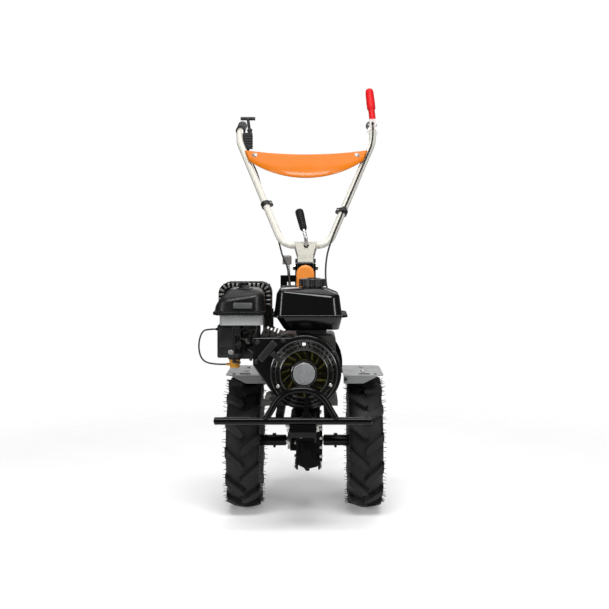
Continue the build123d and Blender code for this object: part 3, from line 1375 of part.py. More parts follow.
crown_top = (panel_front - PANEL_CROWN, BAR_TUBE_RADIUS)
crown_mid = (panel_front, shell_low / 2)
crown_low = (panel_front - PANEL_CROWN, shell_low)
with BuildPart() as panel:
    with BuildSketch(Plane(origin=panel_origin, x_dir=panel_out, z_dir=panel_out.cross(arm_lean))):
        with BuildLine():
            ThreePointArc(crown_top, crown_mid, crown_low)
            Line(crown_low, (crown_low[0] - PANEL_SHEET, crown_low[1]))
            ThreePointArc(
                (crown_low[0] - PANEL_SHEET, crown_low[1]),
                (crown_mid[0] - PANEL_SHEET, crown_mid[1]),
                (crown_top[0] - PANEL_SHEET, crown_top[1]),
            )
            Line((crown_top[0] - PANEL_SHEET, crown_top[1]), crown_top)
        make_face()
    revolve(axis=bow_axis)
    with BuildSketch(front(HAND_Y)):
        with BuildLine():
            ThreePointArc(
                (-PANEL_HALF_WIDTH, panel_end_z), (0, panel_end_z - PANEL_SAG), (PANEL_HALF_WIDTH, panel_end_z)
            )
            Line((PANEL_HALF_WIDTH, panel_end_z), (inner_x, inner_z))
            ThreePointArc((inner_x, inner_z), (0, panel_low_z), (-inner_x, inner_z))
            Line((-inner_x, inner_z), (-PANEL_HALF_WIDTH, panel_end_z))
        make_face()
    extrude(amount=HAND_Y - CROSS_Y, mode=Mode.INTERSECT)
    add(tube_room.part, mode=Mode.SUBTRACT)
    add(clutch_cable_room.part, mode=Mode.SUBTRACT)
keep(panel, "dash_panel")

# Clutch lever standing on the left hand's tube
clamp_start = HAND + GRIP_DIRECTION * (GRIP_GAP - 26)
with BuildPart() as clutch_bracket:
    with BuildSketch(Plane(origin=clamp_start, x_dir=(1, 0, 0), z_dir=GRIP_DIRECTION)):
        Circle(BAR_TUBE_RADIUS + 6)
        with Locations((0, -BAR_TUBE_RADIUS - 16)):
            Rectangle(22, 40)
        Circle(BAR_TUBE_RADIUS + WELD_GAP, mode=Mode.SUBTRACT)
    extrude(amount=22)
keep(clutch_bracket, "clutch_bracket")

lever_foot = HAND + GRIP_DIRECTION * (GRIP_GAP - 15) + Vector(2, -10, 30)
lever_lean = Vector(-13, 46, LEVER_LENGTH).normalized()
lever_top = lever_foot + lever_lean * LEVER_LENGTH
lever_bare = rod(lever_foot, lever_top - lever_lean * 20, LEVER_RADIUS)
with BuildPart() as clutch_lever:
    add(lever_bare.part)
    add(clutch_bracket.part, mode=Mode.SUBTRACT)
keep(clutch_lever, "clutch_lever")

with BuildPart() as sleeve:
    with BuildSketch(Plane(origin=lever_foot + lever_lean * SLEEVE_NECK, z_dir=lever_lean)):
        Circle(SLEEVE_NECK_RADIUS)
    extrude(amount=SLEEVE_NECK_LENGTH)
    with BuildSketch(Plane(origin=lever_foot + lever_lean * (SLEEVE_NECK + SLEEVE_NECK_LENGTH), z_dir=lever_lean)):
        Circle(SLEEVE_RADIUS)
    extrude(amount=LEVER_LENGTH - SLEEVE_NECK - SLEEVE_NECK_LENGTH)
    fillet(sleeve.edges().sort_by(Axis.Z)[-1], 8)
    add(rod(lever_foot, lever_top - lever_lean * 20, LEVER_RADIUS + WELD_GAP).part, mode=Mode.SUBTRACT)
keep(sleeve, "clutch_sleeve")

# Throttle control inside the right arm, with a T lever
with BuildPart() as throttle_base:
    with BuildSketch(level(HAND_Z - 58)):
        with Locations((-HAND_X + 31, HAND_Y - 4)):
            RectangleRounded(34, 38, 6)
    extrude(amount=58)
    add(tube_room.part, mode=Mode.SUBTRACT)
keep(throttle_base, "throttle_base")

stem_top = (-HAND_X + 31, HAND_Y, HAND_Z + 54)
stem_foot = (-HAND_X + 38, HAND_Y - 2, HAND_Z + 2)
stem = rod(stem_foot, stem_top, 5.5)
with BuildPart() as throttle_lever:
    add(stem.part)
    with BuildSketch(side(stem_top[0] - 27)):
        with Locations((stem_top[1], stem_top[2])):
            Circle(6.5)
    extrude(amount=54)
    with BuildSketch(level(HAND_Z)):
        with Locations((stem_foot[0], stem_foot[1])):
            Circle(8)
    extrude(amount=9)
    with BuildSketch(level(HAND_Z)):
        with Locations((stem_foot[0], stem_foot[1])):
            Rectangle(40, 40)
    extrude(amount=-20, mode=Mode.SUBTRACT)
keep(throttle_lever, "throttle_lever")

# Gear lever above the column
shift_points = [
    (2, CROSS_Y - 23, CROSS_Z - 7),
    (2, CROSS_Y - 36, CROSS_Z + 22),
    (-5, CROSS_Y - 31, CROSS_Z + 50),
    (-13, CROSS_Y - 13, CROSS_Z + 79),
]
shift_bare = bent_tube(shift_points, 14, 5)
with BuildPart() as shift_rod:
    add(shift_bare.part)
    add(column.part, mode=Mode.SUBTRACT)
keep(shift_rod, "gear_lever")

grip_foot = Vector(-6, CROSS_Y - 29, CROSS_Z + 53)
grip_lean = Vector(-17, 46, 68).normalized()
with BuildPart() as shift_grip:
    with BuildSketch(Plane(origin=grip_foot, z_dir=grip_lean)):
        Circle(11)
    with BuildSketch(Plane(origin=grip_foot + grip_lean * 84, z_dir=grip_lean)):
        Circle(14)
    loft()
    add(bent_tube(shift_points, 14, 5 + WELD_GAP).part, mode=Mode.SUBTRACT)
keep(shift_grip, "gear_lever_grip")
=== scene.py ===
"""Looks of the walk-behind two-wheel tractor: finishes, fine pieces, cables, light and camera."""

import json
from math import atan2, cos, exp, log, pi, radians, sin, tan

import bpy
import numpy as np
from mathutils import Matrix, Vector


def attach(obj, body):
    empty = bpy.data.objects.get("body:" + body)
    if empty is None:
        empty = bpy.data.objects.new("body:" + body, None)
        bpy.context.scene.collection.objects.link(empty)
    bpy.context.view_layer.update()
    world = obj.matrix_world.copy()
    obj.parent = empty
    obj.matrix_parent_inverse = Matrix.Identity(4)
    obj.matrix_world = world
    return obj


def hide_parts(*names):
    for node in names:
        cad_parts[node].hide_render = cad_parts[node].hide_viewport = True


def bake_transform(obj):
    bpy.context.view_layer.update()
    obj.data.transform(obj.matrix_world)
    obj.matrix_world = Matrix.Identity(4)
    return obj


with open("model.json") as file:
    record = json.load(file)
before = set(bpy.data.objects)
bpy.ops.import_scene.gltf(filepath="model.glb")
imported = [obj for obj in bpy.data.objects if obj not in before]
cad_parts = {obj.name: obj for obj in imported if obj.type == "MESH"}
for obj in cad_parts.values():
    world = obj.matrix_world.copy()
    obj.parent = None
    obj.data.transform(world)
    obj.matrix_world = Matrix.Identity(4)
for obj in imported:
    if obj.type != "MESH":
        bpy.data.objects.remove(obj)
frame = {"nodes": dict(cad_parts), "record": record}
nodes = frame["nodes"]
scene = bpy.context.scene
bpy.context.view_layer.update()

# The axle's y in metres; the part's source counts y from it
AXLE_Y = -0.18151

# Directions: the machine's front looks along minus y
FRONT = (0, -1, 0)
BACK = (0, 1, 0)
UP = (0, 0, 1)


def place(x, y, z):
    """A point in millimetres with y counted from the axle, as a point of the frame in metres."""
    return Vector((x / 1000, y / 1000 + AXLE_Y, z / 1000))


def in_scene(name, data):
    """A new object of some data in the scene."""
    made = bpy.data.objects.new(name, data)
    scene.collection.objects.link(made)
    return made


def settle(node, **values):
    """Constants on a shader node's sockets, whose names are written with underscores."""
    for name, value in values.items():
        node.inputs[name.replace("_", " ")].default_value = value


# Camera where the photograph was taken from
PHOTO_SIZE = 609
FOCAL_PIXELS = 1047.6
LEVEL_POINT = (313.2, 235.2)
CAMERA_PLACE = (26, -3300, 850)
SENSOR_WIDTH = 36

camera = in_scene("camera", bpy.data.cameras.new("camera"))
camera.data.sensor_width = SENSOR_WIDTH
camera.data.lens = SENSOR_WIDTH * FOCAL_PIXELS / PHOTO_SIZE
camera.location = place(*CAMERA_PLACE)
camera.rotation_euler = (pi / 2, 0, 0)
camera.data.shift_x = (PHOTO_SIZE / 2 - LEVEL_POINT[0]) / PHOTO_SIZE
camera.data.shift_y = (LEVEL_POINT[1] - PHOTO_SIZE / 2) / PHOTO_SIZE
scene.camera = camera
scene.view_settings.view_transform = "Standard"

# Studio: a white backdrop, a dim room and large soft lamps, in metres and watts
ROOM_LIGHT = 0.12
BACKDROP_LIGHT = 1.0
world = bpy.data.worlds.new("studio")
scene.world = world
world.use_nodes = True
studio = world.node_tree
room = studio.nodes["Background"]
settle(room, Color=(1, 1, 1, 1))
seen = studio.nodes.new("ShaderNodeLightPath")
brightness = studio.nodes.new("ShaderNodeMapRange")
settle(brightness, To_Min=ROOM_LIGHT, To_Max=BACKDROP_LIGHT)
studio.links.new(seen.outputs["Is Camera Ray"], brightness.inputs["Value"])
studio.links.new(brightness.outputs["Result"], room.inputs["Strength"])


def area_lamp(name, where, target, size, power):
    """A rectangular lamp that looks at a target."""
    data = bpy.data.lights.new(name, "AREA")
    data.shape = "RECTANGLE"
    data.size, data.size_y = size
    data.energy = power
    lamp = in_scene(name, data)
    lamp.location = where
    lamp.rotation_euler = (Vector(target) - Vector(where)).to_track_quat("-Z", "Y").to_euler()


area_lamp("lamp_key", (0.05, -2.0, 3.3), (0, 0, 0.4), (2.0, 1.0), 88)
area_lamp("lamp_above", (0, 0.5, 3.2), (0, 0, 0), (3.0, 2.0), 30)
area_lamp("lamp_right", (2.4, -2.6, 1.7), (0, 0, 0.7), (0.7, 1.8), 38)
area_lamp("lamp_left", (-2.4, -2.4, 1.5), (0, 0, 0.7), (0.5, 1.8), 34)
area_lamp("lamp_back", (0.4, 3.2, 2.2), (0, 0, 0.7), (2.4, 1.2), 26)

# Finishes
COAT_ROUGHNESS = 0.06
LEAST_ROUGHNESS = 0.02
GLOSS_SCALE = 2.3
NOISE_LOW = 0.3
NOISE_HIGH = 0.7
FINISHES = {}


def finish(
    slot, colour, roughness, metallic=0.0, specular=0.5, coat=0.0, mottle=(9.0, 0.18), rough_change=0.12,
    grain=(900.0, 0.04), edge=0.0012,
):
    """The finish of a slot: mottled colour, uneven gloss, fine grain and softened edges.

    mottle is (scale, amount), grain is (scale, depth in millimetres) and edge is a radius in metres.
    """
    mottle_scale, mottle_amount = mottle
    grain_scale, grain_depth = grain
    made = bpy.data.materials.new(slot)
    made.use_nodes = True
    add = made.node_tree.nodes.new
    link = made.node_tree.links.new
    shader = made.node_tree.nodes["Principled BSDF"]
    settle(shader, Metallic=metallic, Specular_IOR_Level=specular)
    settle(shader, Coat_Weight=coat, Coat_Roughness=COAT_ROUGHNESS)

    def noise(scale, detail):
        texture = add("ShaderNodeTexNoise")
        settle(texture, Scale=scale, Detail=detail)
        link(where.outputs["Object"], texture.inputs["Vector"])
        return texture.outputs["Fac"]

    def spread(value, low, high):
        ranged = add("ShaderNodeMapRange")
        settle(ranged, From_Min=NOISE_LOW, From_Max=NOISE_HIGH, To_Min=low, To_Max=high)
        link(value, ranged.inputs["Value"])
        return ranged.outputs["Result"]

    where = add("ShaderNodeTexCoord")
    dark = [c * (1 - mottle_amount) for c in colour]
    light = [min(1.0, c * (1 + mottle_amount)) for c in colour]
    shades = add("ShaderNodeMix")
    shades.data_type = "RGBA"
    settle(shades, A=(*dark, 1), B=(*light, 1))
    link(spread(noise(mottle_scale, 6), 0, 1), shades.inputs["Factor"])
    link(shades.outputs["Result"], shader.inputs["Base Color"])

    smoothest = max(LEAST_ROUGHNESS, roughness - rough_change)
    gloss = spread(noise(mottle_scale * GLOSS_SCALE, 5), smoothest, roughness + rough_change)
    link(gloss, shader.inputs["Roughness"])

    bump = add("ShaderNodeBump")
    settle(bump, Strength=1.0, Distance=grain_depth / 1000)
    link(noise(grain_scale, 3), bump.inputs["Height"])
    if edge:
        soft_edge = add("ShaderNodeBevel")
        soft_edge.samples = 4
        settle(soft_edge, Radius=edge)
        link(soft_edge.outputs["Normal"], bump.inputs["Normal"])
    link(bump.outputs["Normal"], shader.inputs["Normal"])
    FINISHES[slot] = made


finish("tyre", (0.011, 0.0115, 0.0113), 0.60, specular=0.22, grain=(700, 0.12), edge=0)
finish("rim_paint", (0.52, 0.52, 0.50), 0.38, grain=(1500, 0.01))
finish("black_casting", (0.002, 0.002, 0.0022), 0.40, specular=0.08, grain=(420, 0.14))
finish(
    "black_paint", (0.0024, 0.0024, 0.0027), 0.17, specular=0.18, rough_change=0.05, grain=(260, 0.012)
)
finish("bright_steel", (0.52, 0.515, 0.49), 0.36, metallic=1.0, grain=(1600, 0.015), edge=0)
finish("silver_paint", (0.27, 0.275, 0.275), 0.42, metallic=0.3, mottle=(14, 0.06), grain=(2400, 0.02))
finish("cast_aluminium", (0.11, 0.11, 0.105), 0.50, metallic=0.6, mottle=(26, 0.25), grain=(600, 0.16))
finish("engine_black", (0.003, 0.0032, 0.003), 0.20, specular=0.4, rough_change=0.06, grain=(240, 0.015))
finish("badge_silver", (0.58, 0.59, 0.60), 0.34, metallic=0.7, grain=(2200, 0.02))
finish("black_plastic", (0.010, 0.010, 0.0105), 0.42, grain=(1800, 0.05))
finish("tank_black", (0.0026, 0.0028, 0.0026), 0.15, specular=0.36, rough_change=0.04, grain=(180, 0.012))
finish("charcoal_plastic", (0.007, 0.0075, 0.0072), 0.34, specular=0.28, grain=(1900, 0.06))
finish("grey_plastic", (0.42, 0.435, 0.43), 0.30, grain=(1200, 0.03))
finish("amber_plastic", (0.62, 0.30, 0.04), 0.22, grain=(900, 0.02))
finish("hose_rubber", (0.010, 0.010, 0.010), 0.5, grain=(1400, 0.05), edge=0)
finish("muffler_steel", (0.10, 0.095, 0.09), 0.5, metallic=0.8, mottle=(18, 0.4), grain=(700, 0.1))
finish(
    "orange_paint", (0.66, 0.17, 0.007), 0.34, specular=0.22, coat=0.3, mottle=(6, 0.05), grain=(220, 0.015)
)
finish("cream_paint", (0.70, 0.68, 0.61), 0.24, coat=0.4, mottle=(7, 0.04), grain=(240, 0.012), edge=0)
finish("grip_rubber", (0.010, 0.010, 0.010), 0.46, specular=0.25, grain=(1500, 0.06), edge=0)
finish(
    "red_plastic", (0.70, 0.012, 0.015), 0.40, specular=0.18, mottle=(8, 0.06), grain=(1500, 0.03), edge=0
)
finish("chrome", (0.72, 0.72, 0.72), 0.34, metallic=1.0, rough_change=0.04, grain=(900, 0.004), edge=0)
finish("cable_black", (0.008, 0.008, 0.008), 0.42, grain=(1600, 0.04), edge=0)
finish("fan_yellow", (0.17, 0.155, 0.03), 0.42, metallic=0.2, grain=(900, 0.06))
finish(
    "recoil_enamel", (0.0024, 0.0024, 0.0026), 0.30, specular=0.12, rough_change=0.05, grain=(300, 0.02),
    edge=0.0018,
)
# The recoil rings' enamel is lighter than the cover's and very glossy; its lighter colour is a painted
# highlight along the rings
finish(
    "ring_enamel", (0.03, 0.03, 0.028), 0.15, specular=0.9, rough_change=0.04, grain=(300, 0.01), edge=0
)
finish("dark_steel", (0.09, 0.09, 0.08), 0.36, metallic=0.9, grain=(900, 0.03))
# The air cleaner bar's grey is lighter than the lid: partly its own tone as a label plate, partly a painted
# highlight
finish("raised_bar", (0.10, 0.105, 0.10), 0.26, grain=(1500, 0.03))
# The column's cream is a darker copy of cream_paint, to offset the key lamp on its upturned front: painted
# shade
finish("shade_darkened_cream", (0.46, 0.45, 0.385), 0.30, coat=0.3, mottle=(7, 0.05), grain=(240, 0.012))
finish("knob_plastic", (0.17, 0.165, 0.16), 0.42, grain=(1200, 0.03))
# The clutch bracket's enamel is raised to near white to offset the shade it lies in: painted light
finish("pale_enamel", (0.98, 0.86, 0.85), 0.24, mottle=(60, 0.12), grain=(700, 0.02))
# The base cover's orange is a lighter copy of orange_paint, to offset the shade it lies in under the tank
# and column: painted light
finish("lightened_cover_orange", (0.82, 0.27, 0.045), 0.36, specular=0.3, mottle=(6, 0.05), grain=(220, 0.015))
finish("floor_paper", (0.97, 0.97, 0.97), 0.75, mottle=(3, 0.01), grain=(300, 0.05), edge=0)

# Solids take the finish of their slot, and a few take one of their own
OWN_FINISHES = {
    "flywheel_fan": "fan_yellow",
    "recoil_cover": "recoil_enamel",
    "range_knob": "knob_plastic",
    # lighter copy of the orange paint: painted light
    "base_cover": "lightened_cover_orange",
    "bumper_mount": "black_casting",
    # darker copy of the cream paint: painted shade
    "column": "shade_darkened_cream",
    # raised to offset shade: painted light
    "clutch_bracket": "pale_enamel",
    "clutch_lever": "red_plastic",
}
for entry in frame["record"]["subparts"]:
    mesh = nodes[entry["node"]].data
    mesh.materials.clear()
    mesh.materials.append(FINISHES[entry["material_slot"]])
for node, own in OWN_FINISHES.items():
    nodes[node].data.materials[0] = FINISHES[own]

# Floor, in metres
FLOOR_HALF = 6.0
FLOOR_SOLID = 0.75
FLOOR_GONE = 1.9
FLOOR_GLOW = 0.14


def floor_sheet():
    """White paper under the machine, thinning out into the backdrop away from it."""
    mesh = bpy.data.meshes.new("floor")
    corners = [(x * FLOOR_HALF, y * FLOOR_HALF, 0) for x, y in ((-1, -1), (1, -1), (1, 1), (-1, 1))]
    mesh.from_pydata(corners, [], [(0, 1, 2, 3)])
    tree = FINISHES["floor_paper"].node_tree
    add = tree.nodes.new
    link = tree.links.new
    shader = tree.nodes["Principled BSDF"]
    where = add("ShaderNodeTexCoord")
    distance = add("ShaderNodeVectorMath")
    distance.operation = "LENGTH"
    thin = add("ShaderNodeMapRange")
    thin.interpolation_type = "SMOOTHSTEP"
    settle(thin, From_Min=FLOOR_SOLID, From_Max=FLOOR_GONE, To_Min=1.0, To_Max=0.0)
    link(where.outputs["Object"], distance.inputs[0])
    link(distance.outputs["Value"], thin.inputs["Value"])
    link(thin.outputs["Result"], shader.inputs["Alpha"])
    settle(shader, Emission_Color=(1, 1, 1, 1), Emission_Strength=FLOOR_GLOW)
    mesh.materials.append(FINISHES["floor_paper"])
    sheet = in_scene("floor", mesh)


floor_sheet()


# Mesh helpers
class Shape:
    """Points and faces gathered for one piece."""

    def __init__(self):
        self.points = []
        self.faces = []

    def add(self, points, faces):
        """More points, with faces that count from the first of them."""
        first = len(self.points)
        self.points.extend(Vector(point) for point in points)
        self.faces.extend([first + index for index in face] for face in faces)

    def strip(self, rows, closed_rows=False, closed_columns=False):
        """Quads between rows of points of equal length."""
        count = len(rows[0])
        row_steps = len(rows) if closed_rows else len(rows) - 1
        column_steps = count if closed_columns else count - 1
        faces = []
        for i in range(row_steps):
            a = i * count
            b = (i + 1) % len(rows) * count
            for j in range(column_steps):
                k = (j + 1) % count
                faces.append((a + j, a + k, b + k, b + j))
        self.add([point for row in rows for point in row], faces)

    def tube(self, rings):
        """Rings of points joined into a tube whose caps share its points."""
        first = len(self.points)
        count = len(rings[0])
        last = first + (len(rings) - 1) * count
        self.strip(rings, closed_columns=True)
        self.faces.append([first + k for k in reversed(range(count))])
        self.faces.append([last + k for k in range(count)])

    def capped_tube(self, rings):
        """Rings of points joined into a tube whose caps have their own points."""
        self.strip(rings, closed_columns=True)
        self.add(rings[0], [reversed(range(len(rings[0])))])
        self.add(rings[-1], [range(len(rings[-1]))])


def square_to(along, direction):
    """The part of a direction that stands square to another, of length one."""
    return (direction - along * along.dot(direction)).normalized()


def round_corners(steps):
    """The signs of x and y and the angle of each point round four round corners."""
    for quarter, (x_sign, y_sign) in enumerate(((1, 1), (-1, 1), (-1, -1), (1, -1))):
        for step in range(steps + 1):
            yield x_sign, y_sign, pi / 2 * (quarter + step / steps)


def lathe(shape, profile, centre, axis, sides):
    """Turns (radius, height) points in millimetres about an axis through a centre in metres."""
    axis_turn = Vector(axis).normalized().to_track_quat("Z", "Y").to_matrix()
    rings = []
    for radius, height in profile:
        ring = []
        for k in range(sides):
            angle = 2 * pi * k / sides
            local = Vector((radius * cos(angle), radius * sin(angle), height)) / 1000
            ring.append(Vector(centre) + axis_turn @ local)
        rings.append(ring)
    shape.tube(rings)


def hex_bolt(shape, spot, axis, across, head, flange):
    """A hexagon head with a flange, on a face at a spot."""
    centre = place(*spot)
    corner = across / 2 / cos(pi / 6)
    lathe(shape, [(flange, -0.5), (flange, 1.0), (corner * 0.98, 1.9)], centre, axis, 28)
    lathe(shape, [(corner, 0.5), (corner, head - 0.9), (corner * 0.86, head)], centre, axis, 6)


def wire(shape, route, radius, sides=8):
    """A round wire in millimetres through the route's points."""
    points = [Vector(point) for point in route]
    across = None
    rings = []
    for index, point in enumerate(points):
        before = points[max(index - 1, 0)]
        after = points[min(index + 1, len(points) - 1)]
        along = (after - before).normalized()
        if across is None:
            across = along.orthogonal().normalized()
        else:
            across = square_to(along, across)
        other = along.cross(across)
        ring = []
        for k in range(sides):
            angle = 2 * pi * k / sides
            ring.append(place(*(point + (across * cos(angle) + other * sin(angle)) * radius)))
        rings.append(ring)
    shape.tube(rings)


def spring(shape, start, end, radius, turns, thickness):
    """A wound spring between two points, in millimetres."""
    steps_a_turn = 12
    start, end = Vector(start), Vector(end)
    along = (end - start).normalized()
    across = along.orthogonal().normalized()
    other = along.cross(across)
    steps = turns * steps_a_turn
    route = []
    for k in range(steps + 1):
        angle = 2 * pi * k / steps_a_turn
        side = (across * cos(angle) + other * sin(angle)) * radius
        route.append(start + (end - start) * k / steps + side)
    wire(shape, route, thickness, 5)


def cushion(shape, centre, size, corner, edge, lean=0.0):
    """A block with rounded upright corners and softened rims, leaned about y."""
    half_x, half_y, half_z = (value / 2 for value in size)
    about = Matrix.Rotation(lean, 3, "Y")
    soft = 0.3 * edge
    rings = []
    for inset, height in (
        (edge, -half_z), (soft, soft - half_z), (0, edge - half_z),
        (0, half_z - edge), (soft, half_z - soft), (edge, half_z),
    ):
        ring = []
        for x_sign, y_sign, angle in round_corners(4):
            x = x_sign * (half_x - corner) + (corner - inset) * cos(angle)
            y = y_sign * (half_y - corner) + (corner - inset) * sin(angle)
            ring.append(place(*(Vector(centre) + about @ Vector((x, y, height)))))
        rings.append(ring)
    shape.tube(rings)


def side_band(shape, outline, x_inner, x_outer, half_width):
    """A flat rib round a closed outline of (y, z) points on a face that looks sideways."""
    count = len(outline)
    rows = []
    for index in range(count):
        before = Vector(outline[index - 1])
        here = Vector(outline[index])
        after = Vector(outline[(index + 1) % count])
        first = (here - before).normalized()
        second = (after - here).normalized()
        corner = Vector((-first.y - second.y, first.x + second.x)).normalized()
        reach = half_width / max(0.4, corner.dot(Vector((-first.y, first.x))))
        inside = here + corner * reach
        outside = here - corner * reach
        section = ((x_inner, inside), (x_outer, inside), (x_outer, outside), (x_inner, outside))
        rows.append([place(x, *spot) for x, spot in section])
    shape.strip(rows, closed_rows=True, closed_columns=True)


def spread_along(outline, count):
    """Points at even distances along a closed outline of points in a plane."""
    corners = [Vector(point) for point in outline] + [Vector(outline[0])]
    lengths = [(b - a).length for a, b in zip(corners, corners[1:])]
    spots = []
    for k in range(count):
        left = sum(lengths) * (k + 0.5) / count
        for a, b, length in zip(corners, corners[1:], lengths):
            if left <= length:
                spots.append(a + (b - a) * left / length)
                break
            left -= length
    return spots


def rounded_ring(left, right, front, back, corner):
    """Points in a plane round a rectangle with round corners."""
    ring = []
    for x_sign, y_sign, angle in round_corners(8):
        x = right - corner if x_sign > 0 else left + corner
        y = back - corner if y_sign > 0 else front + corner
        ring.append((x + corner * cos(angle), y + corner * sin(angle)))
    return ring


def subdivided(ring):
    """The same ring with more points along its straight sides."""
    longest = 14
    points = []
    for (x, y), (next_x, next_y) in zip(ring, ring[1:] + ring[:1]):
        pieces = int(((next_x - x) ** 2 + (next_y - y) ** 2) ** 0.5 / longest) + 1
        for k in range(pieces):
            points.append((x + (next_x - x) * (k / pieces), y + (next_y - y) * (k / pieces)))
    return points


def softest(values, blend):
    """The least of some heights, with the corner between them rounded over a blend."""
    least = min(values)
    return least - blend * log(sum(exp((least - value) / blend) for value in values))


def leaning_front(distance, crease, top, depth):
    """The height of a front that leans back from a crease to the top over a depth."""
    return crease + 3 + distance / depth * (top - crease)


def moulded_lid(shape, sides, corner, foot_z, taper, shoulder, roof):
    """A moulded lid: walls on a rounded rectangle, a round shoulder and a roof of height roof(x, y)."""
    flat_middle = 12
    left, right, front, back = sides
    middle_x = (left + right) / 2
    middle_y = (front + back) / 2
    half_x = (right - left) / 2
    half_y = (back - front) / 2
    levels = [(taper * share, share, shoulder) for share in np.linspace(0, 1, 7)]
    for turn in np.linspace(0, pi / 2, 7)[1:]:
        levels.append((taper + shoulder * (1 - cos(turn)), 1.0, shoulder * (1 - sin(turn))))
    for inset in np.linspace(taper + shoulder, min(half_x, half_y) - flat_middle, 11)[1:]:
        levels.append((inset, 1.0, 0.0))
    base = subdivided(rounded_ring(*sides, corner))
    rings = []
    for inset, wall, drop in levels:
        ring = []
        for x, y in base:
            near_x = middle_x + (x - middle_x) * (1 - inset / half_x)
            near_y = middle_y + (y - middle_y) * (1 - inset / half_y)
            top = roof(near_x, near_y) - drop
            ring.append(place(near_x, near_y, foot_z + (top - foot_z) * wall))
        rings.append(ring)
    shape.tube(rings)


def show(shape, name, slot, body="chassis", sharp=34.0, own=None):
    """One object of a shape, with its slot's finish or its own, riding on a body."""
    mesh = bpy.data.meshes.new(name)
    mesh.from_pydata([tuple(point) for point in shape.points], [], shape.faces)
    mesh.validate()
    mesh.shade_smooth()
    mesh.set_sharp_from_angle(angle=radians(sharp))
    mesh.materials.append(FINISHES[own or slot])
    made = in_scene(name, mesh)
    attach(made, body)
    return made


# Bolt heads: width across flats, height, radius of the flange
M8_BOLT = (13, 7, 10)
M8_NUT = (13, 8, 10)
M6_BOLT = (10, 5.5, 7)

# Tyres: rounded carcass, blunt-nosed lugs at both sides and moulding hairs on the shoulders
TYRE_RADIUS = 205.0
TYRE_HALF_WIDTH = 53.0
WHEEL_X = 186.0
CROWN_DROP = 12.0
CARCASS_STEPS = 144
LUG_HEIGHT = 16.0
LUG_COUNT = 13
LUG_WIDTH = 26.0
LUG_TILT = radians(42)
LUG_TIP_X = -3.0
LUG_END_X = 50.5
LUG_DRAFT = 2.5
LUG_EDGE = 1.5
LUG_ROOT = 3
LUG_TAPER = 0.08
LUG_SKEW = 0.6
NOSE_SHARE = 0.26
NOSE_WIDTH = 0.3
FOOT_DRAFT = 2
FOOT_ROOT_X = TYRE_HALF_WIDTH - 6
FOOT_EDGE_X = 51.4
FOOT_FACE_X = 52.2
FOOT_STEPS = ((184.0, 0.95), (172.0, 0.8), (161.0, 0.6))
CENTRE_BAR_X = 5.0
CENTRE_BAR_SECTION = ((-3.5, 185.0), (-2.8, 192.0), (2.8, 192.0), (3.5, 185.0))
CENTRE_BAR_ARCS = (-11.0, -9.5, 9.5, 11.0)
HAIRS_A_SIDE = 84
HAIR_X = 50.0
HAIR_RADII = (181, 192)
HAIR_LENGTHS = (6, 13)
CARCASS = [
    (34.0, 103.0), (37.5, 103.5), (41.5, 108.0), (43.5, 113.0), (43.0, 116.5), (46.5, 124.0),
    (49.5, 134.0), (51.2, 145.0), (51.0, 149.0), (51.6, 152.0), (50.5, 163.0), (48.5, 172.0),
    (45.0, 178.5), (38.0, 182.5), (26.0, 185.8), (12.0, 188.0), (0.0, 188.6),
]


def crown(x):
    """Radius of the tread at a distance from the tyre's middle."""
    return TYRE_RADIUS - CROWN_DROP * (x / TYRE_HALF_WIDTH) ** 2


def on_wheel(sign, x, arc, radius):
    """A point of a wheel from its x, its way round in millimetres at full radius, and its radius."""
    angle = arc / TYRE_RADIUS
    return place(sign * WHEEL_X + x, radius * sin(angle), TYRE_RADIUS + radius * cos(angle))


def lug_section(half, draft, root, edge, face):
    """Six points across a lug: its roots, its softened edges and its face."""
    one_side = [(half + draft, root), (half, edge), (half - LUG_EDGE, face)]
    return [(-offset, height) for offset, height in one_side] + one_side[::-1]


def lug_rows(flank):
    """Rows of (x, arc, radius) across one lug, from nose to shoulder and down the sidewall."""
    middle = TYRE_HALF_WIDTH / 2
    rows = []
    for share in np.concatenate([[-0.02], np.linspace(0, NOSE_SHARE, 5), np.linspace(0.35, 1, 6)]):
        x = LUG_TIP_X + (TYRE_HALF_WIDTH - LUG_TIP_X) * share
        arc = tan(LUG_TILT) * (x - middle)
        rounded = min(1.0, max(0.0, share) / NOSE_SHARE)
        nose = NOSE_WIDTH + (1 - NOSE_WIDTH) * (1 - (1 - rounded) ** 2) ** 0.5
        half = LUG_WIDTH / 2 * nose * (1 - LUG_TAPER * share)
        top = crown(x)
        base = top - LUG_HEIGHT - LUG_ROOT
        rise = base + 1 if share < 0 else top
        row = []
        for s, radius in lug_section(half, LUG_DRAFT, base, rise - LUG_EDGE, rise):
            skewed = min(x - sin(LUG_TILT) * s * LUG_SKEW, LUG_END_X)
            row.append((flank * skewed, arc + cos(LUG_TILT) * s, radius))
        rows.append(row)
    foot = tan(LUG_TILT) * (TYRE_HALF_WIDTH - middle)
    for radius, shrink in FOOT_STEPS:
        half = LUG_WIDTH / 2 * (1 - LUG_TAPER) * shrink / cos(LUG_TILT)
        section = lug_section(half, FOOT_DRAFT, FOOT_ROOT_X, FOOT_EDGE_X, FOOT_FACE_X)
        rows.append([(flank * x, foot + s, radius) for s, x in section])
    return rows


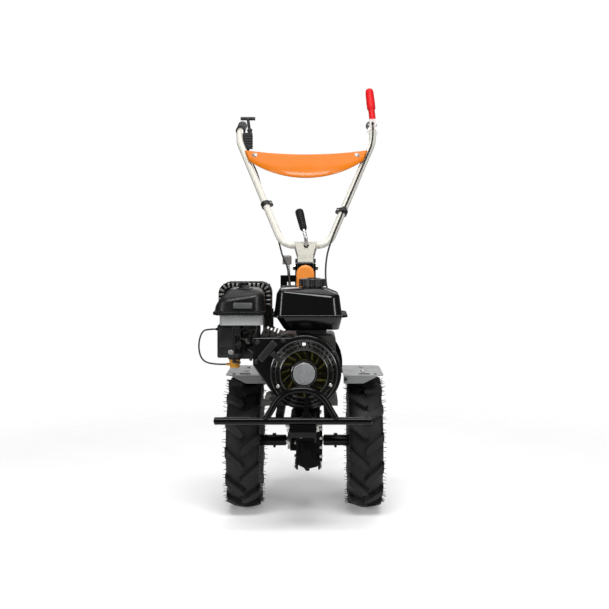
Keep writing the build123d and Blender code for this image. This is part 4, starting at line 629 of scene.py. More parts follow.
def make_tyre(name, sign):
    """One tyre with its lugs, centre bars and moulding hairs; sign is 1 on the left."""
    shape = Shape()
    round_way = 2 * pi * TYRE_RADIUS
    profile = CARCASS + [(-x, r) for x, r in reversed(CARCASS[:-1])]
    rows = []
    for k in range(CARCASS_STEPS):
        rows.append([on_wheel(sign, x, round_way * k / CARCASS_STEPS, r) for x, r in profile])
    shape.strip(rows, closed_rows=True, closed_columns=True)
    pitch = round_way / LUG_COUNT
    for flank, offset in ((1, 0.0), (-1, 0.5)):
        for step in range(LUG_COUNT):
            start = pitch * (step + offset)
            lug = [[on_wheel(sign, x, start + arc, r) for x, arc, r in row] for row in lug_rows(flank)]
            shape.strip(lug)
            shape.add(lug[-1], [reversed(range(6))])
    for step in range(2 * LUG_COUNT):
        start = pitch * (step + 0.5) / 2
        for x in (-CENTRE_BAR_X, CENTRE_BAR_X):
            bar = []
            for arc in CENTRE_BAR_ARCS:
                bar.append([on_wheel(sign, x + s, start + arc, r) for s, r in CENTRE_BAR_SECTION])
            shape.strip(bar)
            shape.add(bar[0], [range(4)])
            shape.add(bar[-1], [reversed(range(4))])
    chance = np.random.default_rng(7 + sign)
    for flank in (1, -1):
        for k in range(HAIRS_A_SIDE):
            arc = round_way * (k + chance.uniform(-0.35, 0.35)) / HAIRS_A_SIDE
            radius = chance.uniform(*HAIR_RADII)
            length = chance.uniform(*HAIR_LENGTHS)
            foot = (flank * (HAIR_X - 1), arc, radius - 3)
            tip = (flank * (HAIR_X + length), arc + chance.uniform(-5, 5), radius + chance.uniform(-3, 4))
            start, end = on_wheel(sign, *foot), on_wheel(sign, *tip)
            lathe(shape, [(1.1, 0), (0.6, (end - start).length * 1000)], start, end - start, 4)
    tyre = show(shape, f"lugged_tyre_{name}", "tyre", f"wheel_{name}")
    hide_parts(f"tyre_{name}")


make_tyre("left", 1)
make_tyre("right", -1)

# Handlebar grips with ribs, a flange at the inner end and a rounded outer end
HAND = (247.0, 585.0, 1228.0)
GRIP_RISE = radians(15)
GRIP_GAP = 50.0
GRIP_LENGTH = 130.0
GRIP_RIBS = 17
GRIP_RIB_STEP = 6.2
GRIP_RIB = ((16.0, 0), (17.4, 1.2), (17.4, 3.6), (16.0, 4.8))
grip_axis = Vector((0, cos(GRIP_RISE), sin(GRIP_RISE)))
grip_profile = [(12.7, 0), (18.0, 0), (18.4, 1.5), (18.0, 4.0), (16.2, 5.5)]
for rib in range(GRIP_RIBS):
    rib_foot = 9.0 + GRIP_RIB_STEP * rib
    grip_profile += [(radius, rib_foot + height) for radius, height in GRIP_RIB]
grip_profile += [(16.2, GRIP_LENGTH - 13), (17.8, GRIP_LENGTH - 11), (18.0, GRIP_LENGTH - 6)]
grip_profile += [(16.8, GRIP_LENGTH - 2), (13.5, GRIP_LENGTH)]
grip_shape = Shape()
for sign in (1, -1):
    start = place(sign * HAND[0], HAND[1], HAND[2]) + grip_axis * GRIP_GAP / 1000
    lathe(grip_shape, grip_profile, start, grip_axis, 40)
grips = show(grip_shape, "ribbed_grips", "grip_rubber", "handlebar")
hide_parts("grips")

# Gear lever grip, thicker and rounded at its top, with moulded rings
KNOB_RINGS = 8
KNOB_RING_STEP = 8.6
knob_foot = place(-6, 256, 868)
knob_axis = Vector((-17, 46, 68)).normalized()
knob_profile = [(6.0, 0), (9.6, 0.5), (10.4, 2.5)]
for ring in range(KNOB_RINGS):
    ring_foot = 5.0 + KNOB_RING_STEP * ring
    wide = 12.4 + 0.34 * ring
    ring_shape = ((wide - 2.6, 0), (wide, 1.6), (wide, 5.4), (wide - 2.6, 7.0))
    knob_profile += [(radius, ring_foot + height) for radius, height in ring_shape]
knob_profile += [(14.4, 75.5), (14.2, 79.0), (12.0, 82.2), (6.5, 84.0)]
knob_shape = Shape()
lathe(knob_shape, knob_profile, knob_foot, knob_axis, 36)
knob = show(knob_shape, "ribbed_gear_grip", "grip_rubber", "handlebar")
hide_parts("gear_lever_grip")

# Control cables and vent hose along the routes of the part's source
ARM_LOW = (78, 285, 815)
ARM_HIGH = (244, 565, 1190)
CABLE_SIDE = 16.0
CABLE_THICKNESS = 6.0
HOSE_THICKNESS = 4.8


def arm_side(sign, share, ahead, inward):
    """A point beside the handlebar's straight arm, as the part's source places it."""
    low = Vector((sign * ARM_LOW[0], *ARM_LOW[1:]))
    high = Vector((sign * ARM_HIGH[0], *ARM_HIGH[1:]))
    along = (high - low).normalized()
    to_front = square_to(along, Vector(FRONT))
    to_inside = square_to(along, Vector((-sign, 0, 0)))
    return low + (high - low) * share + to_front * ahead + to_inside * inward


def smooth_line(name, route, thickness):
    """A round curve whose control points are the route's points."""
    curve = bpy.data.curves.new(name, "CURVE")
    curve.dimensions = "3D"
    curve.resolution_u = 10
    curve.bevel_depth = thickness / 2000
    curve.bevel_resolution = 5
    curve.use_fill_caps = True
    spline = curve.splines.new("NURBS")
    spline.points.add(len(route) - 1)
    for point, spot in zip(spline.points, route):
        point.co = (*place(*spot), 1)
    spline.order_u = 3
    spline.use_endpoint_u = True
    return in_scene(name, curve)


def arm_side_place(route):
    """Where a cable has reached the arm."""
    return place(*route[6])


def make_cable(name, node, route):
    """One cable between the chassis and the handlebar."""
    line = smooth_line(name, route, CABLE_THICKNESS)
    drawn = line.evaluated_get(bpy.context.evaluated_depsgraph_get())
    mesh = bpy.data.meshes.new_from_object(drawn)
    bpy.data.objects.remove(line)
    mesh.shade_smooth()
    mesh.materials.clear()
    mesh.materials.append(FINISHES["cable_black"])
    cable = in_scene(name, mesh)
    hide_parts(node)
    place(*route[-2])
    arm_side_place(route)
    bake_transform(cable)


clutch_route = [
    (247, 598.6, 1267), (247, 562, 1257), arm_side(1, 0.97, CABLE_SIDE + 3, 0),
    arm_side(1, 0.86, CABLE_SIDE, 0), arm_side(1, 0.60, CABLE_SIDE, 0.2), arm_side(1, 0.32, CABLE_SIDE, 0),
    arm_side(1, 0.25, CABLE_SIDE, 0), (84, 267, 825), (68, 214, 765), (66, 130, 694), (84, 46, 625),
    (92, 8.8, 595),
]
throttle_route = [
    (-215, 579, 1168), (-213, 564, 1135),
    arm_side(-1, 0.78, -0.6 * CABLE_SIDE, CABLE_SIDE),
    arm_side(-1, 0.64, -0.85 * CABLE_SIDE, 0.85 * CABLE_SIDE),
    arm_side(-1, 0.48, -1.1 * CABLE_SIDE, 0), arm_side(-1, 0.34, -1.1 * CABLE_SIDE, 0.2),
    arm_side(-1, 0.20, -1.1 * CABLE_SIDE, 0),
    (-84, 296, 796), (-76, 196, 779), (-54, 150, 738), (-44, 20, 620), (-44, -130, 566),
]
make_cable("clutch_cable_line", "clutch_cable", clutch_route)
make_cable("throttle_cable_line", "throttle_cable", throttle_route)

hose_route = [
    (-257.6, -255, 577), (-274, -255, 577), (-298, -255, 572), (-309, -255, 528), (-298, -255, 484),
    (-258, -255, 474), (-226.8, -255, 475),
]
hose = smooth_line("vent_hose_line", hose_route, HOSE_THICKNESS)
hose.data.materials.append(FINISHES["hose_rubber"])
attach(hose, "chassis")
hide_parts("vent_hose")

# The crank's line, round which recoil cover, clutch bell and gear case are laid out
CRANK_Z = 457.0


def about_crank(radius, y, angle):
    """A point in millimetres at an angle round the crank's line."""
    return (radius * cos(angle), y, CRANK_Z + radius * sin(angle))


# Engine bolts: recoil cover, carburettor cover, engine foot and muffler guard
RECOIL_BOLT_DEGREES = (90, 206, 336)
RECOIL_BOLT_CIRCLE = 82
RECOIL_BOLT_Y = -323.5
RECOIL_SLOPE = (0.476, 0.879)
GUARD_BACK_Y = -83
bolts = Shape()
for degrees_round in RECOIL_BOLT_DEGREES:
    angle = radians(degrees_round)
    outwards = Vector((cos(angle), 0, sin(angle)))
    spot = Vector((0, RECOIL_BOLT_Y, CRANK_Z)) + outwards * RECOIL_BOLT_CIRCLE
    facing = outwards * RECOIL_SLOPE[0] + Vector(FRONT) * RECOIL_SLOPE[1]
    hex_bolt(bolts, spot, facing, 9, 5, 5.8)
hex_bolt(bolts, (-211, -285, 512), FRONT, 10, 5, 7.5)
for y in (-92, -208):
    hex_bolt(bolts, (-104, y, 366), UP, *M8_BOLT)
for x, z in ((-245, 608), (-111, 608), (-245, 696), (-111, 696)):
    hex_bolt(bolts, (x, GUARD_BACK_Y, z), BACK, 8, 4, 6)
show(bolts, "engine_bolts", "bright_steel")

# Recoil cover's raised rings: radius, y and thickness
RECOIL_RINGS = ((36, -330, 1.4), (68, -330, 1.8), (82, -323.5, 1.2), (94.5, -316.5, 1.8))
RING_STEPS = 72
rings = Shape()
for radius, y, thickness in RECOIL_RINGS:
    wire(rings, [about_crank(radius, y, 2 * pi * k / RING_STEPS) for k in range(RING_STEPS + 1)], thickness)
# The rings' lighter enamel is a painted highlight along the cover's ridges
show(rings, "recoil_rings", "engine_black", own="ring_enamel")

# Stub between the pull handle and the recoil cover
pull = Shape()
cushion(pull, (-78, -317, 503), (38, 18, 16), 4, 2.5, 0.8)
show(pull, "pull_handle_stub", "black_plastic")

# Air cleaner: raised bar in front, disc and wing nut on top, clips at the front corners
raised_bar = Shape()
cushion(raised_bar, (-175, -312, 649), (55, 12, 17), 4, 3)
# The bar's lighter grey is partly its own tone and partly a painted highlight
show(raised_bar, "air_cleaner_bar", "charcoal_plastic", own="raised_bar")
cleaner = Shape()
disc_profile = [(29, -6), (29, 0.5), (27, 2.5), (15, 3.5), (13, 7), (9, 9)]
lathe(cleaner, disc_profile, place(-173, -245, 694), UP, 40)
cushion(cleaner, (-180, -245, 706), (23, 15, 15), 4, 2)
for x in (-245, -125):
    cushion(cleaner, (x, -313, 628), (13, 6, 14), 2.5, 1)
show(cleaner, "air_cleaner_details", "charcoal_plastic")

# Air cleaner's lid: steep to the left, sloping away at the right and round its front edge
LID_SIDES = (-260.0, -113.0, -315.0, -175.0)


def lid_roof(x, y):
    """Height of the lid's top."""
    crease = 652 + 24 * (x + 250) / 118
    front = leaning_front(y - LID_SIDES[2], crease, 695, 46)
    left = 645 + 1.2 * (x - LID_SIDES[0])
    right = 681 - 1.1 * (x - LID_SIDES[1])
    return softest((697.0, front, left, right), 5.5)


lid = Shape()
cushion(lid, (-187, -245, 626), (150, 145, 9), 24, 2)
moulded_lid(lid, LID_SIDES, 38, 629, 3, 11, lid_roof)
lid_piece = show(lid, "air_cleaner_lid", "charcoal_plastic")
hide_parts("air_cleaner_cover")

# Muffler guard: bright steel slot rims round the upper part of its front, standing in for the bright dashes
# along its slots: painted highlight
GUARD_RING = (-248.0, -108.0, 604.0, 700.0)
GUARD_CORNER = 25.0
GUARD_FRONT_Y = -169.5
GUARD_SLOT_GLINTS = 34
GLINTS_ABOVE_Z = 640
guard_slot_glints = Shape()
for spot in spread_along(rounded_ring(*GUARD_RING, GUARD_CORNER), GUARD_SLOT_GLINTS):
    inner_x = min(max(spot.x, GUARD_RING[0] + GUARD_CORNER), GUARD_RING[1] - GUARD_CORNER)
    inner_z = min(max(spot.y, GUARD_RING[2] + GUARD_CORNER), GUARD_RING[3] - GUARD_CORNER)
    if spot.y > GLINTS_ABOVE_Z:
        lean = -atan2(spot.y - inner_z, spot.x - inner_x)
        cushion(guard_slot_glints, (spot.x, GUARD_FRONT_Y, spot.y), (13, 3, 5.5), 1.2, 0.8, lean)
show(guard_slot_glints, "muffler_guard_slot_glints", "bright_steel")

# Carburettor cover's raised frame and blank plate, with levers and an inlet beside it
carb = Shape()
cushion(carb, (-225, -286, 556), (40, 5, 58), 2, 1.5)
cushion(carb, (-217, -286, 503), (60, 4, 8), 1.8, 1)
cushion(carb, (-196, -284, 585), (20, 10, 10), 3, 1.5)
cushion(carb, (-172, -262, 586), (34, 6, 12), 2.5, 1.2, 0.5)
cushion(carb, (-158, -248, 566), (10, 30, 44), 3, 1.5)
cushion(carb, (-144, -256, 590), (46, 8, 8), 2.5, 1.2, -0.35)
lathe(carb, [(9, 0), (9, 10), (6, 14), (6, 26)], place(-148, -250, 556), (0.2, -1, 0.1), 20)
lathe(carb, [(14, 0), (14, 7), (10, 9)], place(-196, -259, 533), FRONT, 24)
show(carb, "carburettor_details", "black_plastic")

# Governor's rods, springs and pivots beside the carburettor
linkage = Shape()
upper_rod = [(-190, -270, 574), (-176, -268, 580), (-150, -262, 598), (-130, -258, 601), (-118, -250, 592)]
lower_rod = [(-184, -276, 552), (-170, -274, 549), (-152, -266, 560), (-136, -262, 572)]
upright_arm = [(-140, -258, 606), (-138, -260, 580), (-142, -262, 560), (-150, -262, 540)]
wire(linkage, upper_rod, 1.5)
wire(linkage, lower_rod, 1.3)
wire(linkage, upright_arm, 2.0)
spring(linkage, (-176, -266, 566), (-140, -262, 580), 4.2, 9, 0.8)
spring(linkage, (-150, -268, 600), (-128, -262, 612), 3.5, 7, 0.7)
lathe(linkage, [(8, 0), (8, 3), (5.5, 4.5), (2.5, 5)], place(-162, -264, 543), FRONT, 24)
lathe(linkage, [(4, 0), (4, 6), (2.4, 7)], place(-176, -268, 590), (0, -1, 0.2), 16)
hex_bolt(linkage, (-196, -269, 533), FRONT, 9, 4, 6)
show(linkage, "governor_links", "bright_steel", own="dark_steel")

# Heat shield, bolts of the blower housing, spark plug cap and lead, oil filler
HOUSING_FRONT_Y = -300
plug = Shape()
cushion(plug, (-160, -226, 546), (64, 5, 118), 2.2, 1.5)
cushion(plug, (-152, -238, 512), (40, 22, 30), 6, 3)
cushion(plug, (-160, -234, 586), (34, 16, 18), 5, 2)
for x, z in ((-134, 543), (-60, 546), (-136, 488), (84, 512), (-92, 398)):
    hex_bolt(plug, (x, HOUSING_FRONT_Y, z), FRONT, 10, 5, 7)
cap_profile = [(9, 0), (10, 3), (10, 16), (8, 20), (8, 34), (5, 38)]
lathe(plug, cap_profile, place(-128, -222, 506), (-0.85, -0.35, 0.35), 20)
plug_lead = [
    (-158, -234, 519), (-164, -246, 522), (-160, -262, 518), (-146, -272, 508), (-130, -268, 500),
    (-118, -250, 496), (-110, -236, 496),
]
wire(plug, plug_lead, 3.2, 10)
lathe(plug, [(13, 0), (16, 2), (16, 9), (14, 12), (9, 13)], place(70, -235, 384), (0, -1, 0.35), 28)
show(plug, "plug_cap_and_filler", "black_plastic")

# Fuel tap: ring and lever
TAP_X = -202
tap = Shape()
lathe(tap, [(18.5, 0), (19, 1), (19, 6), (18, 7)], place(TAP_X, -255, 490), UP, 32)
lathe(tap, [(6, 0), (6, 5), (4, 6)], place(TAP_X, -272, 486), FRONT, 18)
cushion(tap, (-194, -277, 484), (22, 4, 6), 2, 1, 0.2)
show(tap, "fuel_tap_ring", "black_plastic")

# Fuel tank: belly, flange and a moulded top that falls away to the front and to the left
TANK_SIDES = (-88.0, 110.0, -289.0, -97.0)
TANK_BELLY = (
    ((-56, 100, -271, -115), 24, 576),
    ((-59, 101, -273, -113), 24, 577.5),
    ((-82, 110, -287, -99), 26, 614),
    ((-90, 122, -294, -92), 28, 614.5),
    ((-91, 123, -295, -91), 28, 616),
    ((-90, 122, -294, -92), 28, 618.5),
    ((-84, 106, -284, -102), 28, 619),
)
CAP_X = 24
TANK_Y = -193


def tank_roof(x, y):
    """Height of the tank's top."""
    crease = 687 - 26 * (x + 75) / 167
    front = leaning_front(y - TANK_SIDES[2], crease, 698, 44)
    right = 698 - 0.36 * (x - 48)
    left = 676 + 1.1 * (x - TANK_SIDES[0])
    return softest((698.0, front, right, left), 3.0)


tank = Shape()
belly_rings = []
for sides, corner, z in TANK_BELLY:
    belly_rings.append([place(x, y, z) for x, y in rounded_ring(*sides, corner)])
tank.capped_tube(belly_rings)
moulded_lid(tank, TANK_SIDES, 32, 617, 7, 9, tank_roof)
lathe(tank, [(29, 0), (29, 14), (27, 15)], place(CAP_X, TANK_Y, 690), UP, 40)
tank_piece = show(tank, "moulded_tank", "tank_black")
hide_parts("fuel_tank")

# Tank's rolled seam and the disc on its cap
SEAM_SIDES = (-92, 124, -296, -90)
SEAM_CORNER = 28
SEAM_Z = 616.5
SEAM_MIDDLE_X = 16
SEAM_OUT = 2.2
SEAM_RISE = 3.6
SEAM_STEPS = 10
seam = Shape()
seam_rows = []
for x, y in rounded_ring(*SEAM_SIDES, SEAM_CORNER):
    towards = Vector((x - SEAM_MIDDLE_X, y - TANK_Y, 0)).normalized()
    row = []
    for k in range(SEAM_STEPS):
        angle = 2 * pi * k / SEAM_STEPS
        lift = Vector((0, 0, SEAM_RISE * sin(angle)))
        row.append(place(*(Vector((x, y, SEAM_Z)) + towards * SEAM_OUT * cos(angle) + lift)))
    seam_rows.append(row)
seam.strip(seam_rows, closed_rows=True, closed_columns=True)
cap_disc = [(24, 0), (24, 1.5), (21, 3), (20, 3), (19, 1.6), (4, 1.6)]
lathe(seam, cap_disc, place(CAP_X, TANK_Y, 720.5), UP, 40)
show(seam, "tank_seam_and_cap_disc", "tank_black")

# Final drive: bolted ribs at both sides, front pads, drain plug and the bumper mount's bolts
DRIVE_OUTLINE = [(-81, 330), (-81, 184), (-47, 131), (52, 131), (89, 186), (97, 246), (97, 330)]
DRIVE_FRONT_Y = -89
MOUNT_X = -3
MOUNT_HALF_WIDTH = 38
ribs = Shape()
drive_bolts = Shape()
for face, outwards in ((42, 1), (-22, -1)):
    side_band(ribs, DRIVE_OUTLINE, face - outwards, face + 5 * outwards, 8)
    for spot in spread_along(DRIVE_OUTLINE, 15):
        hex_bolt(drive_bolts, (face + 4.5 * outwards, *spot), (outwards, 0, 0), *M6_BOLT)
for z in (172, 200, 228, 256):
    hex_bolt(drive_bolts, (50, DRIVE_FRONT_Y, z), FRONT, 8, 4, 5)
cushion(ribs, (46, -80, 214), (16, 16, 118), 5, 2)
cushion(ribs, (10, DRIVE_FRONT_Y, 246), (58, 6, 34), 2.5, 2)
cushion(ribs, (6, -90, 190), (30, 5, 52), 2.2, 2)
for x in (-12, 30):
    cushion(ribs, (x, DRIVE_FRONT_Y, 200), (8, 8, 90), 3, 2)
lathe(ribs, [(9, -2), (9, 3), (7, 4), (7, 10), (5.5, 11)], place(8, -20, 124), (0, 0, -1), 6)
show(ribs, "final_drive_ribs", "black_casting")
for x, z in ((17, 236), (-12, 256), (32, 256), (-12, 234)):
    hex_bolt(drive_bolts, (x, -91.5, z), FRONT, 9, 4.5, 6.5)
for sign in (1, -1):
    mount_side = MOUNT_X + sign * MOUNT_HALF_WIDTH
    for y, z in ((-180, 284), (-330, 300)):
        hex_bolt(drive_bolts, (mount_side, y, z), (sign, 0, 0), *M8_NUT)
    lathe(drive_bolts, [(4.5, 0), (4.5, 15), (3.8, 16)], place(mount_side, -180, 284), (sign, 0, 0), 12)
show(drive_bolts, "final_drive_bolts", "bright_steel")

# Gear case and clutch bell: side covers, bolts, ribs, filler and level plugs
CASE_COVER = [(70, 358), (222, 358), (236, 372), (236, 530), (222, 544), (70, 544), (56, 530), (56, 372)]
BELL_BOLTS = 10
BELL_BOLT_CIRCLE = 112
BELL_RIBS = 6
CASE_BACK_CIRCLE = 35
covers = Shape()
case_bolts = Shape()
for sign in (1, -1):
    side_band(covers, CASE_COVER, sign * 59, sign * 64, 9)
    cushion(covers, (sign * 61, 146, 457), (5, 110, 92), 2.2, 1.5)
    for spot in spread_along(CASE_COVER, 12):
        hex_bolt(case_bolts, (sign * 63.5, *spot), (sign, 0, 0), *M6_BOLT)
for k in range(BELL_BOLTS):
    angle = 2 * pi * (k + 0.5) / BELL_BOLTS
    hex_bolt(case_bolts, about_crank(BELL_BOLT_CIRCLE, -51, angle), BACK, 8, 6, 5)
for k in range(BELL_RIBS):
    angle = 2 * pi * k / BELL_RIBS
    hex_bolt(case_bolts, about_crank(CASE_BACK_CIRCLE, 264, angle), BACK, 9, 5, 6.5)
    rib_angle = 2 * pi * (k + 0.5) / BELL_RIBS
    wire(covers, [about_crank(98, 36, rib_angle), about_crank(107, -48, rib_angle)], 5)
lathe(covers, [(15, -1), (15, 6), (12, 8), (12, 16), (9, 18)], place(34, 96, 560), UP, 28)
hex_bolt(case_bolts, (64, 212, 392), (1, 0, 0), 14, 7, 10)
for x, y in ((-30, 275), (30, 275), (-30, 300), (30, 300)):
    hex_bolt(case_bolts, (x, y, 408), UP, *M8_BOLT)
show(covers, "gear_case_covers", "black_casting")
show(case_bolts, "gear_case_bolts", "bright_steel")

# Wheel nuts, valve and end washer on each rim
NUT_CIRCLE = 39
AXLE_Z = 205
for name, sign in (("left", 1), ("right", -1)):
    outwards = (sign, 0, 0)
    nuts = Shape()
    for k in range(4):
        angle = pi / 4 + pi / 2 * k
        spot = (sign * 187.5, NUT_CIRCLE * cos(angle), AXLE_Z + NUT_CIRCLE * sin(angle))
        hex_bolt(nuts, spot, outwards, *M8_NUT)
    washer_profile = [(16, -0.5), (16, 2.5), (9, 3), (9, 9), (7.5, 10)]
    lathe(nuts, washer_profile, place(sign * 206, 0, AXLE_Z), outwards, 28)
    show(nuts, f"wheel_nuts_{name}", "bright_steel", f"wheel_{name}")
    valve = Shape()
    valve_profile = [(5.5, 0), (5, 6), (4, 9), (4, 22), (3.4, 24), (3.4, 32), (2.4, 33)]
    lathe(valve, valve_profile, place(sign * 192, 0, AXLE_Z + 83), (sign, 0, -0.35), 16)
    show(valve, f"tyre_valve_{name}", "black_plastic", f"wheel_{name}")

# Bumper welds and plugs at the bar's ends
BUMPER_Y = -390
BAR_Z = 334
ARCH_X = -8
ARCH_HALF_WIDTH = 97
ARCH_FOOT_Z = 341
WELD_RADIUS = 10.6
WELD_STEPS = 24
welds = Shape()
for sign in (1, -1):
    arch_foot = Vector((ARCH_X + sign * ARCH_HALF_WIDTH, BUMPER_Y, ARCH_FOOT_Z))
    route = []
    for k in range(WELD_STEPS + 1):
        angle = 2 * pi * k / WELD_STEPS
        uneven = WELD_RADIUS + 0.5 * sin(5 * angle)
        bead = Vector((uneven * 1.15 * cos(angle), uneven * sin(angle) * 0.85, 3.2 * cos(angle) * -sign))
        route.append(arch_foot + bead)
    wire(welds, route, 1.8, 6)
for end, outwards in ((187, 1), (-248, -1)):
    plug_profile = [(8.2, -1), (8.2, 0.8), (6.5, 2.2), (2.5, 2.8)]
    lathe(welds, plug_profile, place(end, BUMPER_Y, BAR_Z), (outwards, 0, 0), 28)
show(welds, "bumper_welds_and_plugs", "black_paint")

# Stake pin's spring clip and the holder's bolts
CLIP_X = 27
clip_bends = [(520, 360), (520, 384), (523, 392), (530, 393), (534, 386), (531, 378)]
clip_bends += [(524, 374), (527, 368), (533, 362)]
clip = Shape()
wire(clip, [(CLIP_X, y, z) for y, z in clip_bends], 1.3)
for sign in (1, -1):
    hex_bolt(clip, (sign * 15, 440, 372), (sign, 0, 0), *M8_BOLT)
show(clip, "stake_clip", "bright_steel")

# Fender screws and rubber plugs
FENDER_TOP_Z = 425
screws = Shape()
grommets = Shape()
for sign in (1, -1):
    for x, y in ((180, -40), (180, 60), (88, 75), (88, 105)):
        hex_bolt(screws, (sign * x, y, FENDER_TOP_Z), UP, 10, 5, 8)
    lathe(grommets, [(5.5, -0.5), (5.5, 1.2), (3.8, 2), (2, 1.2)], place(sign * 124, -127.5, 414), FRONT, 20)
    cushion(grommets, (sign * 182, -95, 426), (34, 9, 3.2), 4, 1.2)
    lathe(grommets, [(5, -0.5), (5, 1.5), (3, 2.5)], place(sign * 216, -98, FENDER_TOP_Z), UP, 20)
show(screws, "fender_screws", "bright_steel")
show(grommets, "fender_grommets", "black_plastic")

# Dash panel as one skin with a rolled rim; its borders have a half width, an end height and a sag
ARM_LEAN = Vector((0, ARM_HIGH[1] - ARM_LOW[1], ARM_HIGH[2] - ARM_LOW[2])).normalized()
PANEL_OUT = Vector((0, -ARM_LEAN.z, ARM_LEAN.y))
PANEL_ORIGIN = Vector((0, 545.6, 1164))
PANEL_FRONT = 52.1
PANEL_FOOT = -93
PANEL_HEIGHT = 105
PANEL_CROWN = 8
BOW_RADIUS = 866.3
PANEL_TOP = (226.0, 1164.0, 20.0)
PANEL_LOW = (208.0, 1124.0, 67.0)
RIM_ROUND = 7.0
LOW_TURN = 26.0
PANEL_SKIN = 4.0
INSIDE_MARGIN = 2.5


def on_panel(x, z):
    """A point in millimetres on the dash panel's outside, seen from the front at x and z."""
    up = 0.0
    for _ in range(6):
        crown_share = (up - PANEL_FOOT) / PANEL_HEIGHT
        bow = (BOW_RADIUS**2 - x**2) ** 0.5
        out = PANEL_FRONT - BOW_RADIUS + bow - PANEL_CROWN * crown_share**2
        up = (z - PANEL_ORIGIN.z - out * PANEL_OUT.z) / ARM_LEAN.z
    return PANEL_ORIGIN + Vector((x, 0, 0)) + ARM_LEAN * up + PANEL_OUT * out


def sagging(border, share):
    """A point (x, z) at a share from -1 to 1 of an arc that sags below its ends."""
    half_width, end_z, sag = border
    radius = (half_width**2 + sag**2) / (2 * sag)
    x = half_width * share
    return Vector((x, end_z - sag + radius - (radius**2 - x**2) ** 0.5))


def rolled(distance, turn):
    """How far back the skin is at a distance inside an edge that it turns over."""
    left = max(0.0, 1 - distance / turn)
    return RIM_ROUND * (1 - (1 - left**2) ** 0.5)


def panel_skin(margin, depth):
    """Rows of points of the skin, a margin inside the outline and a depth behind the outside."""
    across = np.sin(np.linspace(-pi / 2, pi / 2, 61))
    down = (1 - np.cos(np.linspace(0, pi, 25))) / 2
    rows = []
    for v in down:
        row = []
        for u in across:
            top, low = sagging(PANEL_TOP, u), sagging(PANEL_LOW, u)
            height = (top - low).length
            inner_v = (margin + v * (height - 2 * margin)) / height
            spot = top + (low - top) * inner_v
            spot.x *= 1 - margin / PANEL_TOP[0]
            side_gap = (1 - abs(u)) * PANEL_TOP[0]
            back = rolled(v * height, RIM_ROUND) + rolled((1 - v) * height, min(LOW_TURN, height / 2))
            back += rolled(side_gap, RIM_ROUND)
            row.append(place(*(on_panel(spot.x, spot.y) - PANEL_OUT * (depth + min(back, RIM_ROUND)))))
        rows.append(row)
    return rows


def rim(rows):
    """The points round the border of a skin."""
    right = [row[-1] for row in rows[1:-1]]
    left = [row[0] for row in reversed(rows[1:-1])]
    return rows[0] + right + rows[-1][::-1] + left


panel = Shape()
outside = panel_skin(0.0, 0.0)
inside = panel_skin(INSIDE_MARGIN, PANEL_SKIN)
panel.strip([row[::-1] for row in outside])
panel.strip(inside)
panel.strip([rim(outside), rim(inside)], closed_columns=True)
panel_piece = show(panel, "moulded_dash_panel", "orange_paint", "handlebar", sharp=50)
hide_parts("dash_panel")

# Handlebar screws: panel, cable clips and clutch lever's bracket
BRACKET_X = 247.5
BRACKET_HALF_WIDTH = 11
bar_screws = Shape()
screw_profile = [(9.5, -0.6), (9.5, 1.0), (6.0, 1.6), (6.0, 3.6), (4.6, 4.6), (1.5, 4.9)]
for sign in (1, -1):
    facing = PANEL_OUT + Vector((sign * 0.21, 0, 0))
    lathe(bar_screws, screw_profile, place(*on_panel(sign * 185, 1140)), facing, 28)
for sign, share in ((1, 0.29), (-1, 0.36)):
    spot = arm_side(sign, share + 0.017, 4, 18)
    hex_bolt(bar_screws, spot, Vector((-sign, -0.25, 0.1)), 7, 4, 5)
for sign in (-1, 1):
    bracket_side = BRACKET_X + sign * BRACKET_HALF_WIDTH
    hex_bolt(bar_screws, (bracket_side, 625, 1262), (sign, 0, 0), 10, 6, 7)
show(bar_screws, "handlebar_screws", "bright_steel", "handlebar")

# Gear lever's nut on the column
LEVER_X = 2
LEVER_Y = 262
LEVER_AXIS = (0, -0.35, 0.94)
lever_nut = Shape()
nut_profile = [(12, -6), (12, 2), (9.5, 4), (9.5, 11), (7.5, 13)]
lathe(lever_nut, nut_profile, place(LEVER_X, LEVER_Y, 806), LEVER_AXIS, 6)
show(lever_nut, "gear_lever_nut", "bright_steel", "handlebar", own="dark_steel")

# Ferrules at the cables' upper ends
ferrules = Shape()
for start, end, radius in (
    ((247, 604, 1268.5), (247, 590, 1264.8), 5.0),
    ((247, 590, 1264.8), (247, 582, 1262.4), 4.0),
    ((-215, 580, 1171), (-214.4, 574, 1157), 5.0),
):
    wire(ferrules, [start, end], radius, 14)
show(ferrules, "cable_ferrules", "cable_black", "handlebar")

# Gear lever's boss under its nut
lever_boss = Shape()
lathe(lever_boss, [(17, -8), (17, 1), (15, 3), (13, 3)], place(LEVER_X, LEVER_Y, 800), LEVER_AXIS, 32)
# The boss takes the column's darker copy of the cream paint: painted shade
show(lever_boss, "gear_lever_boss", "cream_paint", "handlebar", own="shade_darkened_cream")
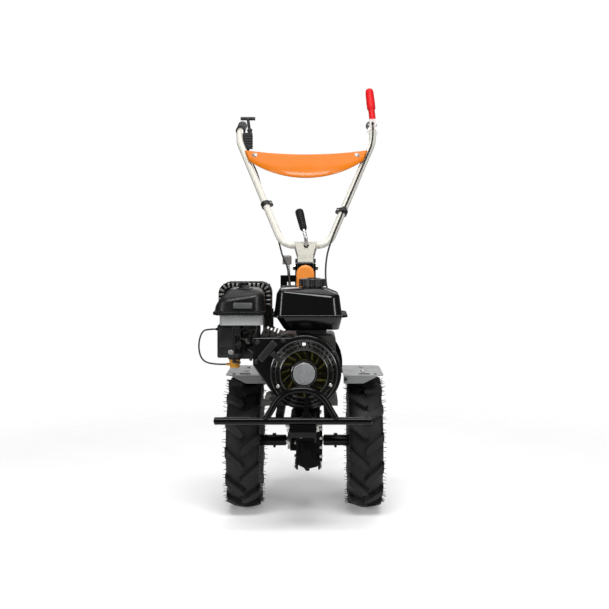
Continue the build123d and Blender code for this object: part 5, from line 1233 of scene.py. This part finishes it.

# Black band round the front of the column's foot, where the base bracket's black, shaded inside shows:
# partly the bracket's black paint, partly painted shade
PIVOT_Y = 235
PIVOT_Z = 745
SHADE_BAND_SECTION = ((-25.8, 30.1), (-25.4, 31.2), (25.4, 31.2), (25.8, 30.1))
foot_shade_band = Shape()
shade_band_rings = []
for degrees_up in range(-60, 31, 6):
    angle = radians(degrees_up)
    ring = []
    for x, radius in SHADE_BAND_SECTION:
        ring.append(place(x, PIVOT_Y - radius * cos(angle), PIVOT_Z + radius * sin(angle)))
    shade_band_rings.append(ring)
foot_shade_band.capped_tube(shade_band_rings)
show(foot_shade_band, "column_foot_shade_band", "black_paint", "handlebar")

# Throttle control: ribs round the body and a ring at the lever's foot
throttle = Shape()
for k in range(5):
    cushion(throttle, (-216, 581, 1180 + 9.5 * k), (36.5, 40.5, 4), 6, 1.2)
lathe(throttle, [(10, 0), (10, 5), (7.5, 8)], place(-209, 583, 1236), (-0.13, 0.04, 1), 24)
show(throttle, "throttle_ribs", "black_plastic", "handlebar")

# Clutch lever's sleeve: thick grip above a narrower neck
SLEEVE_FOOT = Vector((249, 608.8, 1267.1))
SLEEVE_AXIS = Vector((-13, 46, 142)).normalized()
sleeve = Shape()
sleeve_profile = [(8, 14), (11.6, 15), (12.2, 18), (12.2, 52), (13, 56), (15.4, 59), (16.0, 62)]
sleeve_profile += [(16.2, 90), (15.6, 124), (14.4, 133), (11.5, 139), (6, 142)]
lathe(sleeve, sleeve_profile, place(*SLEEVE_FOOT), SLEEVE_AXIS, 40)
sleeve_piece = show(sleeve, "clutch_lever_sleeve", "red_plastic", "handlebar")
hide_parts("clutch_sleeve")

# Gear lever of thick plated rod, round at its bends
ROD_RADIUS = 6.0
gear_rod = Shape()
rod_bends = ((LEVER_X, LEVER_Y, 808), (2, 249, 837), (-5, 254, 865), (-13, 272, 894))
corners = [Vector(bend) for bend in rod_bends]
rod_route = []
for a, b, c in zip(corners, corners[1:], corners[2:]):
    first, last = (a + b) / 2, (b + c) / 2
    rod_route += [first.lerp(b, t).lerp(b.lerp(last, t), t) for t in np.linspace(0, 1, 9)[:-1]]
wire(gear_rod, [corners[0], *rod_route, corners[-1]], ROD_RADIUS, 24)
gear_rod_piece = show(gear_rod, "gear_lever_rod", "chrome", "handlebar")
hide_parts("gear_lever")
